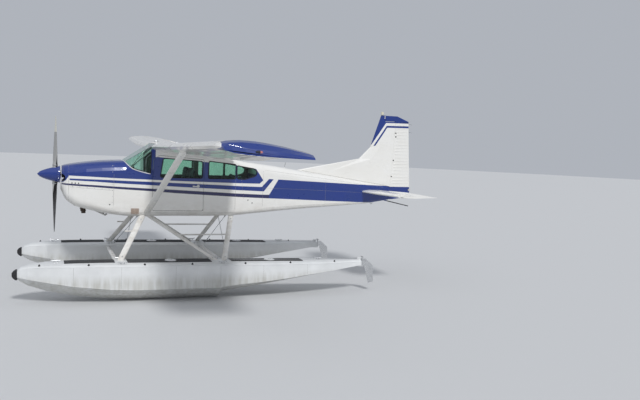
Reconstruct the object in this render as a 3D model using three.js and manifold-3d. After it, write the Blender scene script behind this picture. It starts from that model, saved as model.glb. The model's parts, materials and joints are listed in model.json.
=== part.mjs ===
import * as THREE from 'three';
import { mergeVertices } from 'three/addons/utils/BufferGeometryUtils.js';
import Module from 'manifold-3d';

// High-wing, single-engine floatplane, in millimetres at full size.
// Stations: X runs aft from the propeller's plane, Y to starboard, Z up from a datum 30 mm
// under the propeller's shaft.

const wasm = await Module();
wasm.setup();

// Driving dimensions
const SPAN_HALF = 5450;
const KEEL_Z = -2140;
const BOW_X = -690;
const TAIL_X = 7558;
const SEAM = 0.3;
const SWING_GAP = 8;

const CABIN_HALF = 560;
const WALL = 35;
const FLOOR = 60;
const COWL_SKIN = 18;
const TAIL_SKIN = 30;
const FIREWALL_X = 1040;
const BULKHEAD_X = 3950;
const COWL_FRONT_X = 100;

const SHAFT_Z = 30;
const SPINNER_TIP_X = -318;
const SPINNER_BACK_X = 85;
const SPINNER_R = 158;
const HUB_R = 90;
const PROP_R = 1100;
const SHANK_R = 45;

const WING_ROOT_Y = 560;
const STRUT_Y = 2540;
const AILERON_END_Y = 5050;
const CAP_Y = 5200;
const HINGE_AT = 0.72;
const WING_THICK = 0.12;
const WING_CAMBER = 0.02;
const CAMBER_AT = 0.4;
const NOSE_PER_CHORD = 0.0305;

const FLOAT_Y = 1280;
const STEP_X = 2900;
const STERN_X = 5820;

const ELEVATOR_HINGE = [6810, -190];
const ELEVATOR_R = 33;
const STAB_HALF = 1505;
const RUDDER_LOW = [7032, -91];
const RUDDER_HIGH = [7135, 1344];
const FIN_TOP_Z = 1500;
const HORN_Z = 1365;
const HORN_X = 6868;

// Small helpers for points and solids
const v3 = (x, y, z) => new THREE.Vector3(x, y, z);
const mix = (a, b, t) => a + (b - a) * t;
const radians = THREE.MathUtils.degToRad;

function solid(geometry) {
  const bare = geometry.clone();
  bare.deleteAttribute('normal');
  bare.deleteAttribute('uv');
  const merged = mergeVertices(bare, 1e-3);
  const at = merged.attributes.position;
  const corner = [v3(0, 0, 0), v3(0, 0, 0), v3(0, 0, 0)];
  const kept = [];
  let volume = 0;
  for (let i = 0; i < merged.index.count; i += 3) {
    const ids = [0, 1, 2].map((k) => merged.index.getX(i + k));
    if (new Set(ids).size < 3) continue;
    ids.forEach((id, k) => corner[k].fromBufferAttribute(at, id));
    volume += corner[0].dot(corner[1].clone().cross(corner[2]));
    kept.push(ids);
  }
  const triVerts = new Uint32Array(kept.flatMap(([a, b, c]) => (volume > 0 ? [a, b, c] : [a, c, b])));
  const vertProperties = new Float32Array(at.array);
  return new wasm.Manifold(new wasm.Mesh({ numProp: 3, vertProperties, triVerts }));
}

function geometryOf(shape) {
  const mesh = shape.getMesh();
  const geometry = new THREE.BufferGeometry();
  geometry.setAttribute('position', new THREE.BufferAttribute(mesh.vertProperties, 3));
  geometry.setIndex(new THREE.BufferAttribute(mesh.triVerts, 1));
  geometry.computeVertexNormals();
  return geometry;
}

// Skin over a row of rings with equal counts of points, closed by a fan at each end.
function loft(rings) {
  const n = rings[0].length;
  const centre = (ring) => ring.reduce((sum, p) => sum.add(p), v3(0, 0, 0)).divideScalar(n);
  const points = [...rings.flat(), centre(rings[0]), centre(rings.at(-1))];
  const index = [];
  const first = rings.length * n;
  const last = (rings.length - 1) * n;
  for (let i = 0; i < n; i += 1) {
    const j = (i + 1) % n;
    for (let r = 0; r < last; r += n) {
      index.push(r + i, r + j, r + n + j, r + i, r + n + j, r + n + i);
    }
    index.push(first, j, i, first + 1, last + i, last + j);
  }
  const geometry = new THREE.BufferGeometry().setFromPoints(points);
  geometry.setIndex(index);
  return solid(geometry);
}

function outline(points, radius) {
  const shape = new THREE.Shape();
  const corners = points.map(([a, b]) => new THREE.Vector2(a, b));
  corners.forEach((corner, i) => {
    const before = corners.at(i - 1).clone().sub(corner);
    const after = corners[(i + 1) % corners.length].clone().sub(corner);
    if (radius > 0) {
      const start = corner.clone().add(before.setLength(Math.min(radius, before.length() * 0.45)));
      const end = corner.clone().add(after.setLength(Math.min(radius, after.length() * 0.45)));
      if (i === 0) shape.moveTo(start.x, start.y);
      else shape.lineTo(start.x, start.y);
      shape.quadraticCurveTo(corner.x, corner.y, end.x, end.y);
    } else if (i === 0) shape.moveTo(corner.x, corner.y);
    else shape.lineTo(corner.x, corner.y);
  });
  shape.closePath();
  return shape;
}

const X_AXIS = v3(1, 0, 0);
const Y_AXIS = v3(0, 1, 0);
const Z_AXIS = v3(0, 0, 1);

function prism(points, from, to, radius, basis, shift) {
  const settings = { depth: to - from, bevelEnabled: false, curveSegments: 4 };
  const geometry = new THREE.ExtrudeGeometry(outline(points, radius), settings);
  geometry.applyMatrix4(new THREE.Matrix4().makeBasis(...basis));
  geometry.translate(shift.x, shift.y, shift.z);
  return solid(geometry);
}

// Prisms along X, Y and Z, from outlines in (y, z), (x, z) and (x, y).
const prismX = (points, from, to, radius = 0) =>
  prism(points, from, to, radius, [Y_AXIS, Z_AXIS, X_AXIS], v3(from, 0, 0));
const prismY = (points, from, to, radius = 0) =>
  prism(points, from, to, radius, [X_AXIS, Z_AXIS, v3(0, -1, 0)], v3(0, to, 0));
const prismZ = (points, from, to, radius = 0) =>
  prism(points, from, to, radius, [X_AXIS, Y_AXIS, Z_AXIS], v3(0, 0, from));

function block(low, high) {
  const size = high.map((value, i) => value - low[i]);
  const geometry = new THREE.BoxGeometry(...size);
  geometry.translate(...low.map((value, i) => value + size[i] / 2));
  return solid(geometry);
}

function rod(from, to, radius, sides = 16) {
  const along = to.clone().sub(from);
  const geometry = new THREE.CylinderGeometry(radius, radius, along.length(), sides);
  const turn = new THREE.Quaternion().setFromUnitVectors(Y_AXIS, along.clone().normalize());
  geometry.applyQuaternion(turn);
  geometry.translate(...from.clone().add(to).divideScalar(2).toArray());
  return solid(geometry);
}

// Body of revolution about X, from a profile of [x, radius].
function turned(profile, sides = 32) {
  const points = profile.map(([x, radius]) => new THREE.Vector2(radius, x));
  const geometry = new THREE.LatheGeometry(points, sides);
  geometry.rotateZ(-Math.PI / 2);
  return solid(geometry);
}

// Straight streamlined tube from one point to another, its chord along the flight direction.
function fairedStrut(from, to, chord, thick, sides = 12) {
  const along = to.clone().sub(from).normalize();
  const fore = X_AXIS.clone().addScaledVector(along, -along.x).normalize();
  const across = along.clone().cross(fore);
  const ring = (centre) => Array.from({ length: sides }, (_, i) => {
    const turn = (i / sides) * 2 * Math.PI;
    return centre.clone()
      .addScaledVector(fore, (chord / 2) * Math.cos(turn))
      .addScaledVector(across, (thick / 2) * Math.sin(turn));
  });
  return loft([ring(from), ring(to)]);
}

const stretched = (from, to, extra) => {
  const along = to.clone().sub(from).setLength(extra);
  return [from.clone().sub(along), to.clone().add(along)];
};

// Fuselage frames: station, half width, top, bottom, radius of the top corners and of the bottom ones.
const FRAMES = [
  [100, 200, 186, -255, 150, 150],
  [120, 260, 198, -300, 170, 170],
  [150, 330, 210, -365, 190, 190],
  [200, 385, 221, -445, 200, 190],
  [340, 445, 247, -540, 215, 170],
  [540, 490, 279, -592, 230, 150],
  [820, 525, 311, -655, 235, 130],
  [1040, 545, 325, -685, 235, 115],
  [1250, 557, 335, -706, 230, 105],
  [1505, CABIN_HALF, 502, -713, 190, 100],
  [1700, CABIN_HALF, 622, -712, 110, 100],
  [1800, CABIN_HALF, 684, -706, 60, 100],
  [2100, CABIN_HALF, 701, -704, 45, 100],
  [2500, CABIN_HALF, 664, -704, 45, 100],
  [2900, CABIN_HALF, 566, -704, 45, 100],
  [3320, 552, 442, -690, 60, 100],
  [3545, 535, 394, -676, 110, 100],
  [3640, 525, 383, -662, 125, 95],
  [3950, 488, 352, -638, 160, 95],
  [4240, 448, 319, -611, 190, 90],
  [4820, 362, 235, -565, 180, 85],
  [5400, 285, 153, -526, 150, 75],
  [6390, 160, 13, -459, 100, 50],
  [7010, 72, -75, -369, 50, 30],
].map(([x, half, top, bottom, topR, bottomR]) => ({ x, half, top, bottom, topR, bottomR }));

function frameAt(x) {
  const next = Math.max(1, FRAMES.findIndex((row) => row.x >= x));
  const [a, b] = [FRAMES[next - 1], FRAMES[next]];
  const t = (x - a.x) / (b.x - a.x);
  return Object.fromEntries(Object.keys(a).map((key) => [key, mix(a[key], b[key], t)]));
}

// A frame as a ring: a box with four rounded corners, grown or shrunk all round.
function frameRing(frame, grow, floor = grow) {
  const half = frame.half + grow;
  const top = frame.top + grow;
  const bottom = frame.bottom - floor;
  const topR = Math.max(frame.topR + grow, 12);
  const bottomR = Math.max(frame.bottomR + floor, 12);
  const corners = [
    [half - bottomR, bottom + bottomR, bottomR, -90],
    [half - topR, top - topR, topR, 0],
    [topR - half, top - topR, topR, 90],
    [bottomR - half, bottom + bottomR, bottomR, 180],
  ];
  const steps = 6;
  return corners.flatMap(([y, z, radius, start]) => Array.from({ length: steps + 1 }, (_, i) => {
    const turn = radians(start + (90 * i) / steps);
    return v3(frame.x, y + radius * Math.cos(turn), z + radius * Math.sin(turn));
  }));
}

function fuselage(from, to, grow = 0, floor = grow) {
  const inside = FRAMES.filter((row) => row.x > from + 1 && row.x < to - 1);
  const rows = [frameAt(from), ...inside, frameAt(to)];
  return loft(rows.map((row) => frameRing(row, grow, floor)));
}

// Wing stations: span position, leading edge x and z, chord, incidence in degrees.
const WING = [
  [WING_ROOT_Y, 1700, 624, 1630, 7.1],
  [STRUT_Y, 1720, 660, 1620, 6.3],
  [CAP_Y, 1870, 735, 1355, 2.8],
  [SPAN_HALF, 1886, 742, 1330, 2.8],
].map(([y, x, z, chord, incidence]) => ({ y, x, z, chord, incidence }));

function wingAt(y) {
  const next = Math.max(1, WING.findIndex((row) => row.y >= y));
  const [a, b] = [WING[next - 1], WING[next]];
  const t = (y - a.y) / (b.y - a.y);
  return Object.fromEntries(Object.keys(a).map((key) => [key, mix(a[key], b[key], t)]));
}

// Half thickness and camber of the wing section at a fraction of its chord, for unit chord.
const halfThick = (f) => 5 * WING_THICK
  * (0.2969 * Math.sqrt(f) - 0.126 * f - 0.3516 * f ** 2 + 0.2843 * f ** 3 - 0.1015 * f ** 4);
const camber = (f) => (f < CAMBER_AT
  ? (WING_CAMBER / CAMBER_AT ** 2) * (2 * CAMBER_AT * f - f ** 2)
  : (WING_CAMBER / (1 - CAMBER_AT) ** 2) * (1 - 2 * CAMBER_AT + 2 * CAMBER_AT * f - f ** 2));

// A point of the section plane, aft along the chord and up from it, as [x, z].
function onWing(station, aft, up) {
  const turn = radians(station.incidence);
  return [
    station.x + aft * Math.cos(turn) + up * Math.sin(turn),
    station.z - aft * Math.sin(turn) + up * Math.cos(turn),
  ];
}

function wingRing(station, side, grow = 0, squeeze = 1) {
  const steps = 9;
  const fractions = Array.from({ length: steps + 1 }, (_, i) =>
    (1 - Math.cos((Math.PI * i) / steps)) / 2);
  const upper = fractions.map((f) => [f, camber(f) + halfThick(f) * (2 * squeeze - 1), grow]).reverse();
  const lower = fractions.slice(1).map((f) => [f, camber(f) - halfThick(f), -grow]);
  return [...upper, ...lower].map(([f, up, extra]) => {
    const aft = f * station.chord + (f === 0 ? -grow : 0);
    const [x, z] = onWing(station, aft, up * station.chord + (f === 0 ? 0 : extra));
    return v3(x, side * station.y, z);
  });
}

const hingeOf = (station) =>
  onWing(station, HINGE_AT * station.chord, camber(HINGE_AT) * station.chord);
const tailOf = (station) => onWing(station, station.chord, 0);

// Section of a control surface: a round nose on the hinge, and two flats to the trailing edge.
function bladeSection(hinge, tail, radius, tailHalf) {
  const aim = Math.atan2(tail[1] - hinge[1], tail[0] - hinge[0]);
  const length = Math.hypot(tail[0] - hinge[0], tail[1] - hinge[1]);
  const tangent = Math.atan2(tailHalf, length) + Math.acos(radius / Math.hypot(length, tailHalf));
  const steps = 8;
  const nose = Array.from({ length: steps + 1 }, (_, i) => {
    const turn = mix(tangent, 2 * Math.PI - tangent, i / steps) + aim;
    return [hinge[0] + radius * Math.cos(turn), hinge[1] + radius * Math.sin(turn)];
  });
  const edge = [-tailHalf, tailHalf].map((up) => [
    tail[0] - up * Math.sin(aim),
    tail[1] + up * Math.cos(aim),
  ]);
  return [...nose, ...edge];
}

// Section of the space behind a spar: round in front of the hinge, and open behind it.
// Its two lips are cut back by the relief angles, so that the turned surface passes them.
const RELIEF = [8, 8];

function coveSection(hinge, aim, radius, reach, high, relief = RELIEF) {
  const steps = 8;
  const local = Array.from({ length: steps + 1 }, (_, i) => {
    const turn = radians(mix(90 + relief[0], 270 - relief[1], i / steps));
    return [radius * Math.cos(turn), radius * Math.sin(turn)];
  });
  const [upperLip, lowerLip] = [local[0][0] + 1, local.at(-1)[0] + 1];
  local.push([lowerLip, -high], [reach, -high], [reach, high], [upperLip, high]);
  return local.map(([a, b]) => [
    hinge[0] + a * Math.cos(aim) - b * Math.sin(aim),
    hinge[1] + a * Math.sin(aim) + b * Math.cos(aim),
  ]);
}

// Section of a thin fixed surface, by its front, its rear and three half thicknesses.
function plateSection(front, rear, level, [nose, middle, back], grow = 0) {
  const late = mix(middle, back, 0.6);
  const stops = [[0.012, nose * 0.55], [0.05, nose], [0.35, middle], [0.7, late], [1, back]];
  const upper = stops.map(([f, half]) => [mix(front, rear, f), half + grow]);
  const lower = upper.map(([a, half]) => [a, -half]).reverse();
  return [[front - grow, 0], ...upper, ...lower].map(([a, b]) => [a, level + b]);
}

// Hinge brackets: a lug from the fixed side holds a pin that crosses a notch in the moving surface.
const LUG = { half: 6, r: 15, pin: 8, bore: 8.8, pinSides: 10, notch: 13, root: 30 };

function bracket(at, axis, forward, noseR) {
  const along = (from, to, radius, sides) =>
    rod(at.clone().addScaledVector(axis, from), at.clone().addScaledVector(axis, to), radius, sides);
  const up = axis.clone().cross(forward);
  const arm = loft([0, noseR + SWING_GAP + LUG.root].map((reach) => [[-1, -1], [1, -1], [1, 1], [-1, 1]]
    .map(([a, b]) => at.clone()
      .addScaledVector(forward, reach)
      .addScaledVector(axis, a * LUG.half)
      .addScaledVector(up, b * LUG.r))));
  return {
    lug: along(-LUG.half, LUG.half, LUG.r, 10).add(arm)
      .subtract(along(-LUG.notch, LUG.notch, LUG.bore, LUG.pinSides)),
    notch: along(-LUG.notch, LUG.notch, noseR + 12, 12),
    pin: along(-LUG.notch - 2, LUG.notch + 2, LUG.pin, LUG.pinSides),
  };
}

function hang(moving, fixed, places) {
  return places.map((place) => bracket(...place)).reduce(
    ([leaf, frame], { lug, notch, pin }) => [leaf.subtract(notch).add(pin), frame.add(lug)],
    [moving, fixed],
  );
}

// Finishes
const finish = (color, roughness, metalness = 0) => ({ color, roughness, metalness });
const WHITE = finish(0xf1f2f0, 0.3);
const BLUE = finish(0x1b3fae, 0.3);
const DARK = finish(0x1c1d20, 0.5, 0.3);
const METAL = finish(0xb9bcc0, 0.35, 0.9);
const RUST = finish(0x4a3c34, 0.7, 0.6);
const GLASS = finish(0x9fb8b0, 0.1);
const CLOTH = finish(0x6f7480, 0.9);
const PANEL = finish(0x26282b, 0.6);
const LAMP = finish(0xb51d1a, 0.2);

const plane = new THREE.Group();
plane.position.set(-(BOW_X + TAIL_X) / 2, 0, -KEEL_Z);

function piece(name, shape, look) {
  const material = new THREE.MeshStandardMaterial(look);
  if (look === GLASS) {
    material.transparent = true;
    material.opacity = 0.35;
  }
  const mesh = new THREE.Mesh(geometryOf(shape), material);
  mesh.name = name;
  plane.add(mesh);
}

const SIDES = [['left', -1], ['right', 1]];

// Engine, exhaust and cowling
const ENGINE = { front: 260, rear: 900, half: 320, bottom: -300, top: 110 };
const EXHAUST = { x: 505, y: 200, r: 40, end: -686 };

function engine() {
  const { front, rear, half, bottom, top } = ENGINE;
  const body = block([front, -half, bottom], [rear, half, top])
    .add(rod(v3(SPINNER_BACK_X - 15, 0, SHAFT_Z), v3(front + 20, 0, SHAFT_Z), 60, 24));
  const feet = [[-1, -1], [-1, 1], [1, -1], [1, 1]].map(([a, b]) => rod(
    v3(rear - 20, a * (half - 60), (b > 0 ? top : bottom) - b * 50),
    v3(FIREWALL_X - 0.1, a * (half + 40), b > 0 ? 150 : -420),
    16,
    10,
  ));
  return feet.reduce((sum, foot) => sum.add(foot), body)
    .subtract(fuselage(FIREWALL_X, FIREWALL_X + 400));
}

function exhaust() {
  const { x, y, r, end } = EXHAUST;
  const muffler = block([x - 60, -y - 60, ENGINE.bottom - 90], [x + 60, y + 60, ENGINE.bottom - SEAM]);
  return SIDES.reduce((sum, [, s]) => sum.add(
    rod(v3(x, s * y, ENGINE.bottom - 60), v3(x + 8, s * y, end), r, 16),
  ), muffler);
}

function cowling() {
  const intake = (s) => {
    const oval = Array.from({ length: 16 }, (_, i) => {
      const turn = (i / 16) * 2 * Math.PI;
      return [s * 275 + 88 * Math.cos(turn), -15 + 72 * Math.sin(turn)];
    });
    return prismX(oval, 60, 330);
  };
  const { x, y, r } = EXHAUST;
  const pipeHole = (s) => block([x - r - 25, s * y - r - 12, -700], [x + r + 40, s * y + r + 12, -480]);
  return fuselage(COWL_FRONT_X, FIREWALL_X)
    .subtract(fuselage(COWL_FRONT_X + COWL_SKIN, FIREWALL_X + 1, -COWL_SKIN))
    .subtract(rod(v3(60, 0, SHAFT_Z), v3(200, 0, SHAFT_Z), 82, 24))
    .subtract(prismX([[-95, -330], [95, -330], [120, -215], [-120, -215]], 60, 330, 20))
    .subtract(intake(-1))
    .subtract(intake(1))
    .subtract(pipeHole(-1))
    .subtract(pipeHole(1))
    .subtract(block([FIREWALL_X - 90, -230, -760], [FIREWALL_X + 1, 230, -600]));
}

piece('engine_block', engine(), RUST);
piece('exhaust_pipes', exhaust(), RUST);
piece('cowling', cowling(), WHITE);

// Spinner and propeller
function spinner() {
  const length = SPINNER_BACK_X - SPINNER_TIP_X;
  const nose = Array.from({ length: 10 }, (_, i) => {
    const t = i / 9;
    return [SPINNER_TIP_X + length * t, SPINNER_R * t ** 0.6 * (1.12 - 0.12 * t)];
  });
  const hubFront = -100;
  const profile = [...nose, [SPINNER_BACK_X, HUB_R + SEAM], [hubFront, HUB_R + SEAM], [hubFront, 0]];
  return turned(profile)
    .subtract(rod(v3(0, 0, -250), v3(0, 0, 250), SHANK_R + 1, 24))
    .translate([0, 0, SHAFT_Z]);
}

// Blade stations: radius, chord, thickness, blade angle in degrees.
const BLADE = [
  [40, 90, 90, 36],
  [168, 90, 90, 36],
  [235, 118, 52, 34],
  [360, 156, 30, 28],
  [600, 160, 21, 20],
  [860, 142, 14, 14],
  [1030, 104, 9, 11],
  [PROP_R, 46, 5, 10],
];

function propeller() {
  const sides = 14;
  const blade = (s) => loft(BLADE.map(([radius, chord, thick, angle]) => {
    const turn = radians(angle);
    return Array.from({ length: sides }, (_, i) => {
      const a = (i / sides) * 2 * Math.PI;
      const [u, w] = [(chord / 2) * Math.cos(a), (thick / 2) * Math.sin(a)];
      return v3(
        u * Math.sin(turn) - w * Math.cos(turn),
        -s * (u * Math.cos(turn) + w * Math.sin(turn)),
        s * radius,
      );
    });
  }));
  return rod(v3(-99, 0, 0), v3(SPINNER_BACK_X - 15 - SEAM, 0, 0), HUB_R - 1, 32)
    .add(blade(1))
    .add(blade(-1))
    .translate([0, 0, SHAFT_Z]);
}

piece('spinner', spinner(), BLUE);
piece('propeller', propeller(), DARK);

// Cabin: side outlines in (x, z)
const WINDSHIELD = [
  [1236, 325], [1373, 197], [1700, 113], [1702, 560], [1796, 655], [1796, 760], [1190, 400],
];
const DOOR = [[1745, -600], [2732, -600], [2732, 408], [1860, 470], [1745, 380]];
const DOOR_WINDOW = [[1896, 50], [2690, 50], [2690, 368], [1946, 408]];
const MIDDLE_WINDOW = [[2830, 50], [3360, 50], [3360, 328], [2830, 372]];
const REAR_WINDOW = [
  [3402, 60], [3560, 50], [3770, 110], [3812, 160], [3800, 215], [3750, 248], [3402, 306],
];
// Side windows: place, outline, corner radius.
const SIDE_WINDOWS = [['middle', MIDDLE_WINDOW, 28], ['rear', REAR_WINDOW, 30]];
const DOOR_GAP = 6;
const DOOR_HINGE_X = 1748;
const DOOR_HINGES = [-430, 150];
const KNUCKLE = { r: 9, clear: 15, half: 18, high: 48 };

const knuckle = (s, z, from, to, radius) =>
  rod(v3(DOOR_HINGE_X, s * CABIN_HALF, z + from), v3(DOOR_HINGE_X, s * CABIN_HALF, z + to), radius, 16);

function inset(points, by) {
  const n = points.length;
  const area = points.reduce((sum, [a, b], i) => {
    const [c, d] = points[(i + 1) % n];
    return sum + a * d - b * c;
  }, 0);
  const inward = Math.sign(area) * by;
  return points.map((point, i) => {
    const edges = [[points.at(i - 1), point], [point, points[(i + 1) % n]]].map(([p, q]) => {
      const length = Math.hypot(q[0] - p[0], q[1] - p[1]);
      return [(p[1] - q[1]) / length, (q[0] - p[0]) / length];
    });
    const [[ax, ay], [bx, by2]] = edges;
    const scale = inward / (1 + ax * bx + ay * by2);
    return [point[0] + (ax + bx) * scale, point[1] + (ay + by2) * scale];
  });
}

const skin = (outer, inner) => fuselage(1060, 3900, -outer).subtract(fuselage(1050, 3910, -inner));

function cabin() {
  const reach = CABIN_HALF + 100;
  const shell = SIDE_WINDOWS.reduce(
    (sum, [, points, radius]) => sum.subtract(prismY(points, -reach, reach, radius)),
    fuselage(FIREWALL_X + SEAM, BULKHEAD_X)
      .subtract(fuselage(FIREWALL_X + 45, BULKHEAD_X - 60, -WALL, -FLOOR))
      .subtract(prismY(WINDSHIELD, -reach, reach, 12))
      .subtract(prismY(DOOR, -reach, reach, 40)),
  );
  const hinges = SIDES.flatMap(([, s]) => DOOR_HINGES.map((z) => [s, z]));
  return hinges.reduce((sum, [s, z]) => sum
    .subtract(knuckle(s, z, KNUCKLE.half, KNUCKLE.high + 6, KNUCKLE.clear))
    .add(knuckle(s, z, -KNUCKLE.half, KNUCKLE.half, KNUCKLE.r)), shell);
}

piece('cabin_shell', cabin(), WHITE);
piece('windshield', skin(4, 12).intersect(prismY(inset(WINDSHIELD, SEAM), -700, 700, 12)), GLASS);

for (const [side, s] of SIDES) {
  const outer = s > 0 ? [CABIN_HALF - WALL, CABIN_HALF] : [-CABIN_HALF, WALL - CABIN_HALF];
  const middle = (outer[0] + outer[1]) / 2 + s * 8;
  const leaf = prismY(inset(DOOR, DOOR_GAP), ...outer, 36)
    .subtract(prismY(DOOR_WINDOW, -700, 700, 40));
  const door = DOOR_HINGES.reduce((sum, z) => sum
    .subtract(knuckle(s, z, -KNUCKLE.half - 6, KNUCKLE.half + SEAM, KNUCKLE.clear))
    .add(knuckle(s, z, KNUCKLE.half + SEAM, KNUCKLE.high, KNUCKLE.r)), leaf);
  piece(`door_${side}`, door, WHITE);
  piece(`door_glass_${side}`, prismY(inset(DOOR_WINDOW, SEAM), middle - 4, middle + 4, 40), GLASS);
  const half = s > 0 ? [0, 700] : [-700, 0];
  for (const [place, points, radius] of SIDE_WINDOWS) {
    const pane = skin(8, 16).intersect(prismY(inset(points, SEAM), ...half, radius));
    piece(`${place}_window_${side}`, pane, GLASS);
  }
}

// Inside the cabin: panel with two control wheels, two front seats and a bench
const PANEL_X = 1400;
const SEAT_Y = 265;
const COLUMN = { z: -30, r: 13, wheelX: PANEL_X + 175, wheelThick: 25 };
const WHEEL = [
  [-115, 75], [-85, 75], [-70, -20], [70, -20], [85, 75], [115, 75], [95, -55], [-95, -55],
];

function panel() {
  const half = frameAt(PANEL_X).half - WALL - SEAM;
  const hoodHalf = half - 8;
  const board = block([PANEL_X, -half, -120], [PANEL_X + 40, half, 140])
    .add(block([PANEL_X - 120, -hoodHalf, 130], [PANEL_X + 70, hoodHalf, 150]));
  const { z, r, wheelX, wheelThick } = COLUMN;
  return SIDES.reduce((sum, [, s]) => {
    const grip = prismX(WHEEL.map(([y, up]) => [y + s * SEAT_Y, up]), wheelX, wheelX + wheelThick);
    const column = rod(v3(PANEL_X + 20, s * SEAT_Y, z), v3(wheelX + 15, s * SEAT_Y, z), r, 12);
    return sum.add(column).add(grip);
  }, board);
}

const SEAT_LIFT = 0.4;

function seat(centre, width, x, backTop) {
  const [low, high] = [centre - width / 2, centre + width / 2];
  const floorAt = (aft) => [x + aft, frameAt(x + aft).bottom + FLOOR + SEAT_LIFT];
  const profile = [
    [x, -400], [x + 60, -400], floorAt(60), floorAt(400), [x + 400, -400], [x + 505, -400],
    [x + 630, backTop], [x + 540, backTop + 15], [x + 430, -285], [x, -275],
  ];
  return prismY(profile, low, high, 22);
}

piece('instrument_panel', panel(), PANEL);
// Seats: name, middle, width, front edge, top of the back.
const SEATS = [
  ['front_seat_left', -SEAT_Y, 440, 1970, 260],
  ['front_seat_right', SEAT_Y, 440, 1970, 260],
  ['rear_bench', 0, 930, 2930, 130],
];
for (const [name, ...sizes] of SEATS) piece(name, seat(...sizes), CLOTH);

// Tail cone, fin and rudder
const RUDDER_RISE = RUDDER_HIGH[1] - RUDDER_LOW[1];
const rudderHingeX = (z) => mix(RUDDER_LOW[0], RUDDER_HIGH[0], (z - RUDDER_LOW[1]) / RUDDER_RISE);
const rudderR = (z) => mix(48, 31, (z + 370) / 1730);
const rudderTailX = (z) => mix(TAIL_X, 7449, (z + 205) / 1587);

function rudderCove() {
  const ring = (z) => coveSection([rudderHingeX(z), 0], 0, rudderR(z) + SWING_GAP, 700, 160)
    .map(([x, y]) => v3(x, y, z));
  return loft([ring(-600), ring(HORN_Z + 2)]);
}

// Stabilizer stations: span position, leading edge, half thickness at the nose, middle and rear.
const STABILIZER = [
  [-STAB_HALF, 6510, 15, 28, 26],
  [0, 6285, 22, 44, 38],
  [STAB_HALF, 6510, 15, 28, 26],
];

function stabilizerBlank(grow) {
  const [rear, level] = ELEVATOR_HINGE;
  return loft(STABILIZER.map(([y, front, ...halves]) => plateSection(front, rear, level, halves, grow)
    .map(([x, z]) => v3(x, y, z))));
}

function elevatorCove() {
  const ring = (y) => coveSection(ELEVATOR_HINGE, 0, ELEVATOR_R + SWING_GAP, 200, 120)
    .map(([x, z]) => v3(x, y, z));
  return loft([ring(-2000), ring(2000)]);
}

const TAIL_SPRING = { from: v3(6850, 0, -368), to: v3(7545, 0, -512), r: 11 };
const ELEVATOR_TUBE = { r: 22, hole: 30 };

function tailCone() {
  const [hinge, level] = ELEVATOR_HINGE;
  const tubeHole = rod(v3(hinge, -300, level), v3(hinge, 300, level), ELEVATOR_TUBE.hole, 20);
  const spring = rod(TAIL_SPRING.from, TAIL_SPRING.to, TAIL_SPRING.r, 10);
  return fuselage(BULKHEAD_X + SEAM, 7010)
    .subtract(fuselage(BULKHEAD_X - 1, 6000, -TAIL_SKIN))
    .subtract(stabilizerBlank(SEAM))
    .subtract(tubeHole)
    .subtract(rudderCove())
    .add(spring);
}

// Fin and dorsal levels: height, leading edge, half thickness at the nose, middle and rear.
const FIN = [
  [-300, 4850, 14, 18, 60],
  [235, 4820, 14, 18, 56],
  [527, 6270, 20, 48, 48],
  [790, 6530, 24, 44, 42],
  [FIN_TOP_Z, 6765, 18, 30, 30],
];

function fin() {
  const blank = loft(FIN.map(([z, front, ...halves]) => plateSection(front, rudderHingeX(z), 0, halves)
    .map(([x, y]) => v3(x, y, z))));
  return blank
    .subtract(fuselage(4400, 7010, SEAM))
    .subtract(block([4400, -200, -600], [7400, 200, -75]))
    .subtract(rudderCove())
    .subtract(block([HORN_X - SWING_GAP, -200, HORN_Z], [7400, 200, FIN_TOP_Z + 50]));
}

function rudder() {
  const ring = (z) => bladeSection([rudderHingeX(z), 0], [rudderTailX(z), 0], rudderR(z), 4)
    .map(([x, y]) => v3(x, y, z));
  const hornLow = HORN_Z + 10;
  const horn = [
    [HORN_X, hornLow], [HORN_X, FIN_TOP_Z - 5], [7156, FIN_TOP_Z - 6], [7449, 1382], [7449, hornLow],
  ];
  const below = [
    [6900, -700], [6900, -362], [7100, -358], [7310, -333], [TAIL_X, -205], [7700, -205], [7700, -700],
  ];
  return loft([ring(-400), ring(HORN_Z + 12)])
    .add(prismY(horn, -26, 26))
    .subtract(prismY(below, -200, 200));
}

const BEACON = { x: 6792, high: 74, r: 30 };
const beacon = rod(
  v3(BEACON.x, 0, FIN_TOP_Z + SEAM),
  v3(BEACON.x, 0, FIN_TOP_Z + BEACON.high),
  BEACON.r,
  16,
);

const RUDDER_HINGES = [150, 1120];
const rudderAxis = v3(RUDDER_HIGH[0] - RUDDER_LOW[0], 0, RUDDER_HIGH[1] - RUDDER_LOW[1]).normalize();
const [hungRudder, hungFin] = hang(rudder(), fin(), RUDDER_HINGES.map((z) =>
  [v3(rudderHingeX(z), 0, z), rudderAxis, Y_AXIS.clone().cross(rudderAxis).negate(), rudderR(z)]));

piece('tail_cone', tailCone(), WHITE);
piece('fin', hungFin, WHITE);
piece('beacon_lamp', beacon, LAMP);
piece('rudder', hungRudder, WHITE);

// Stabilizer and elevator
const ELEVATOR_TAIL = [[115, 7365], [1520, 7335]];
const ELEVATOR_TIP = { inner: 1515, outer: 1630, front: 6560, rear: 7335, halves: [14, 26, 4] };

function elevator() {
  const [hinge, level] = ELEVATOR_HINGE;
  const centreTube = rod(v3(hinge, -140, level), v3(hinge, 140, level), ELEVATOR_TUBE.r, 20);
  const rudderSlot = prismZ([[6845, -116], [7500, -325], [7500, 325], [6845, 116]], -400, 0);
  return SIDES.reduce((sum, [, s]) => {
    const half = loft(ELEVATOR_TAIL.map(([y, tail]) =>
      bladeSection(ELEVATOR_HINGE, [tail, level], ELEVATOR_R, 4).map(([x, z]) => v3(x, s * y, z))));
    const { inner, outer, front, rear, halves } = ELEVATOR_TIP;
    const tip = loft([inner, outer].map((y) =>
      plateSection(front, rear, level, halves).map(([x, z]) => v3(x, s * y, z))));
    return sum.add(half).add(tip);
  }, centreTube).subtract(rudderSlot);
}

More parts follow.
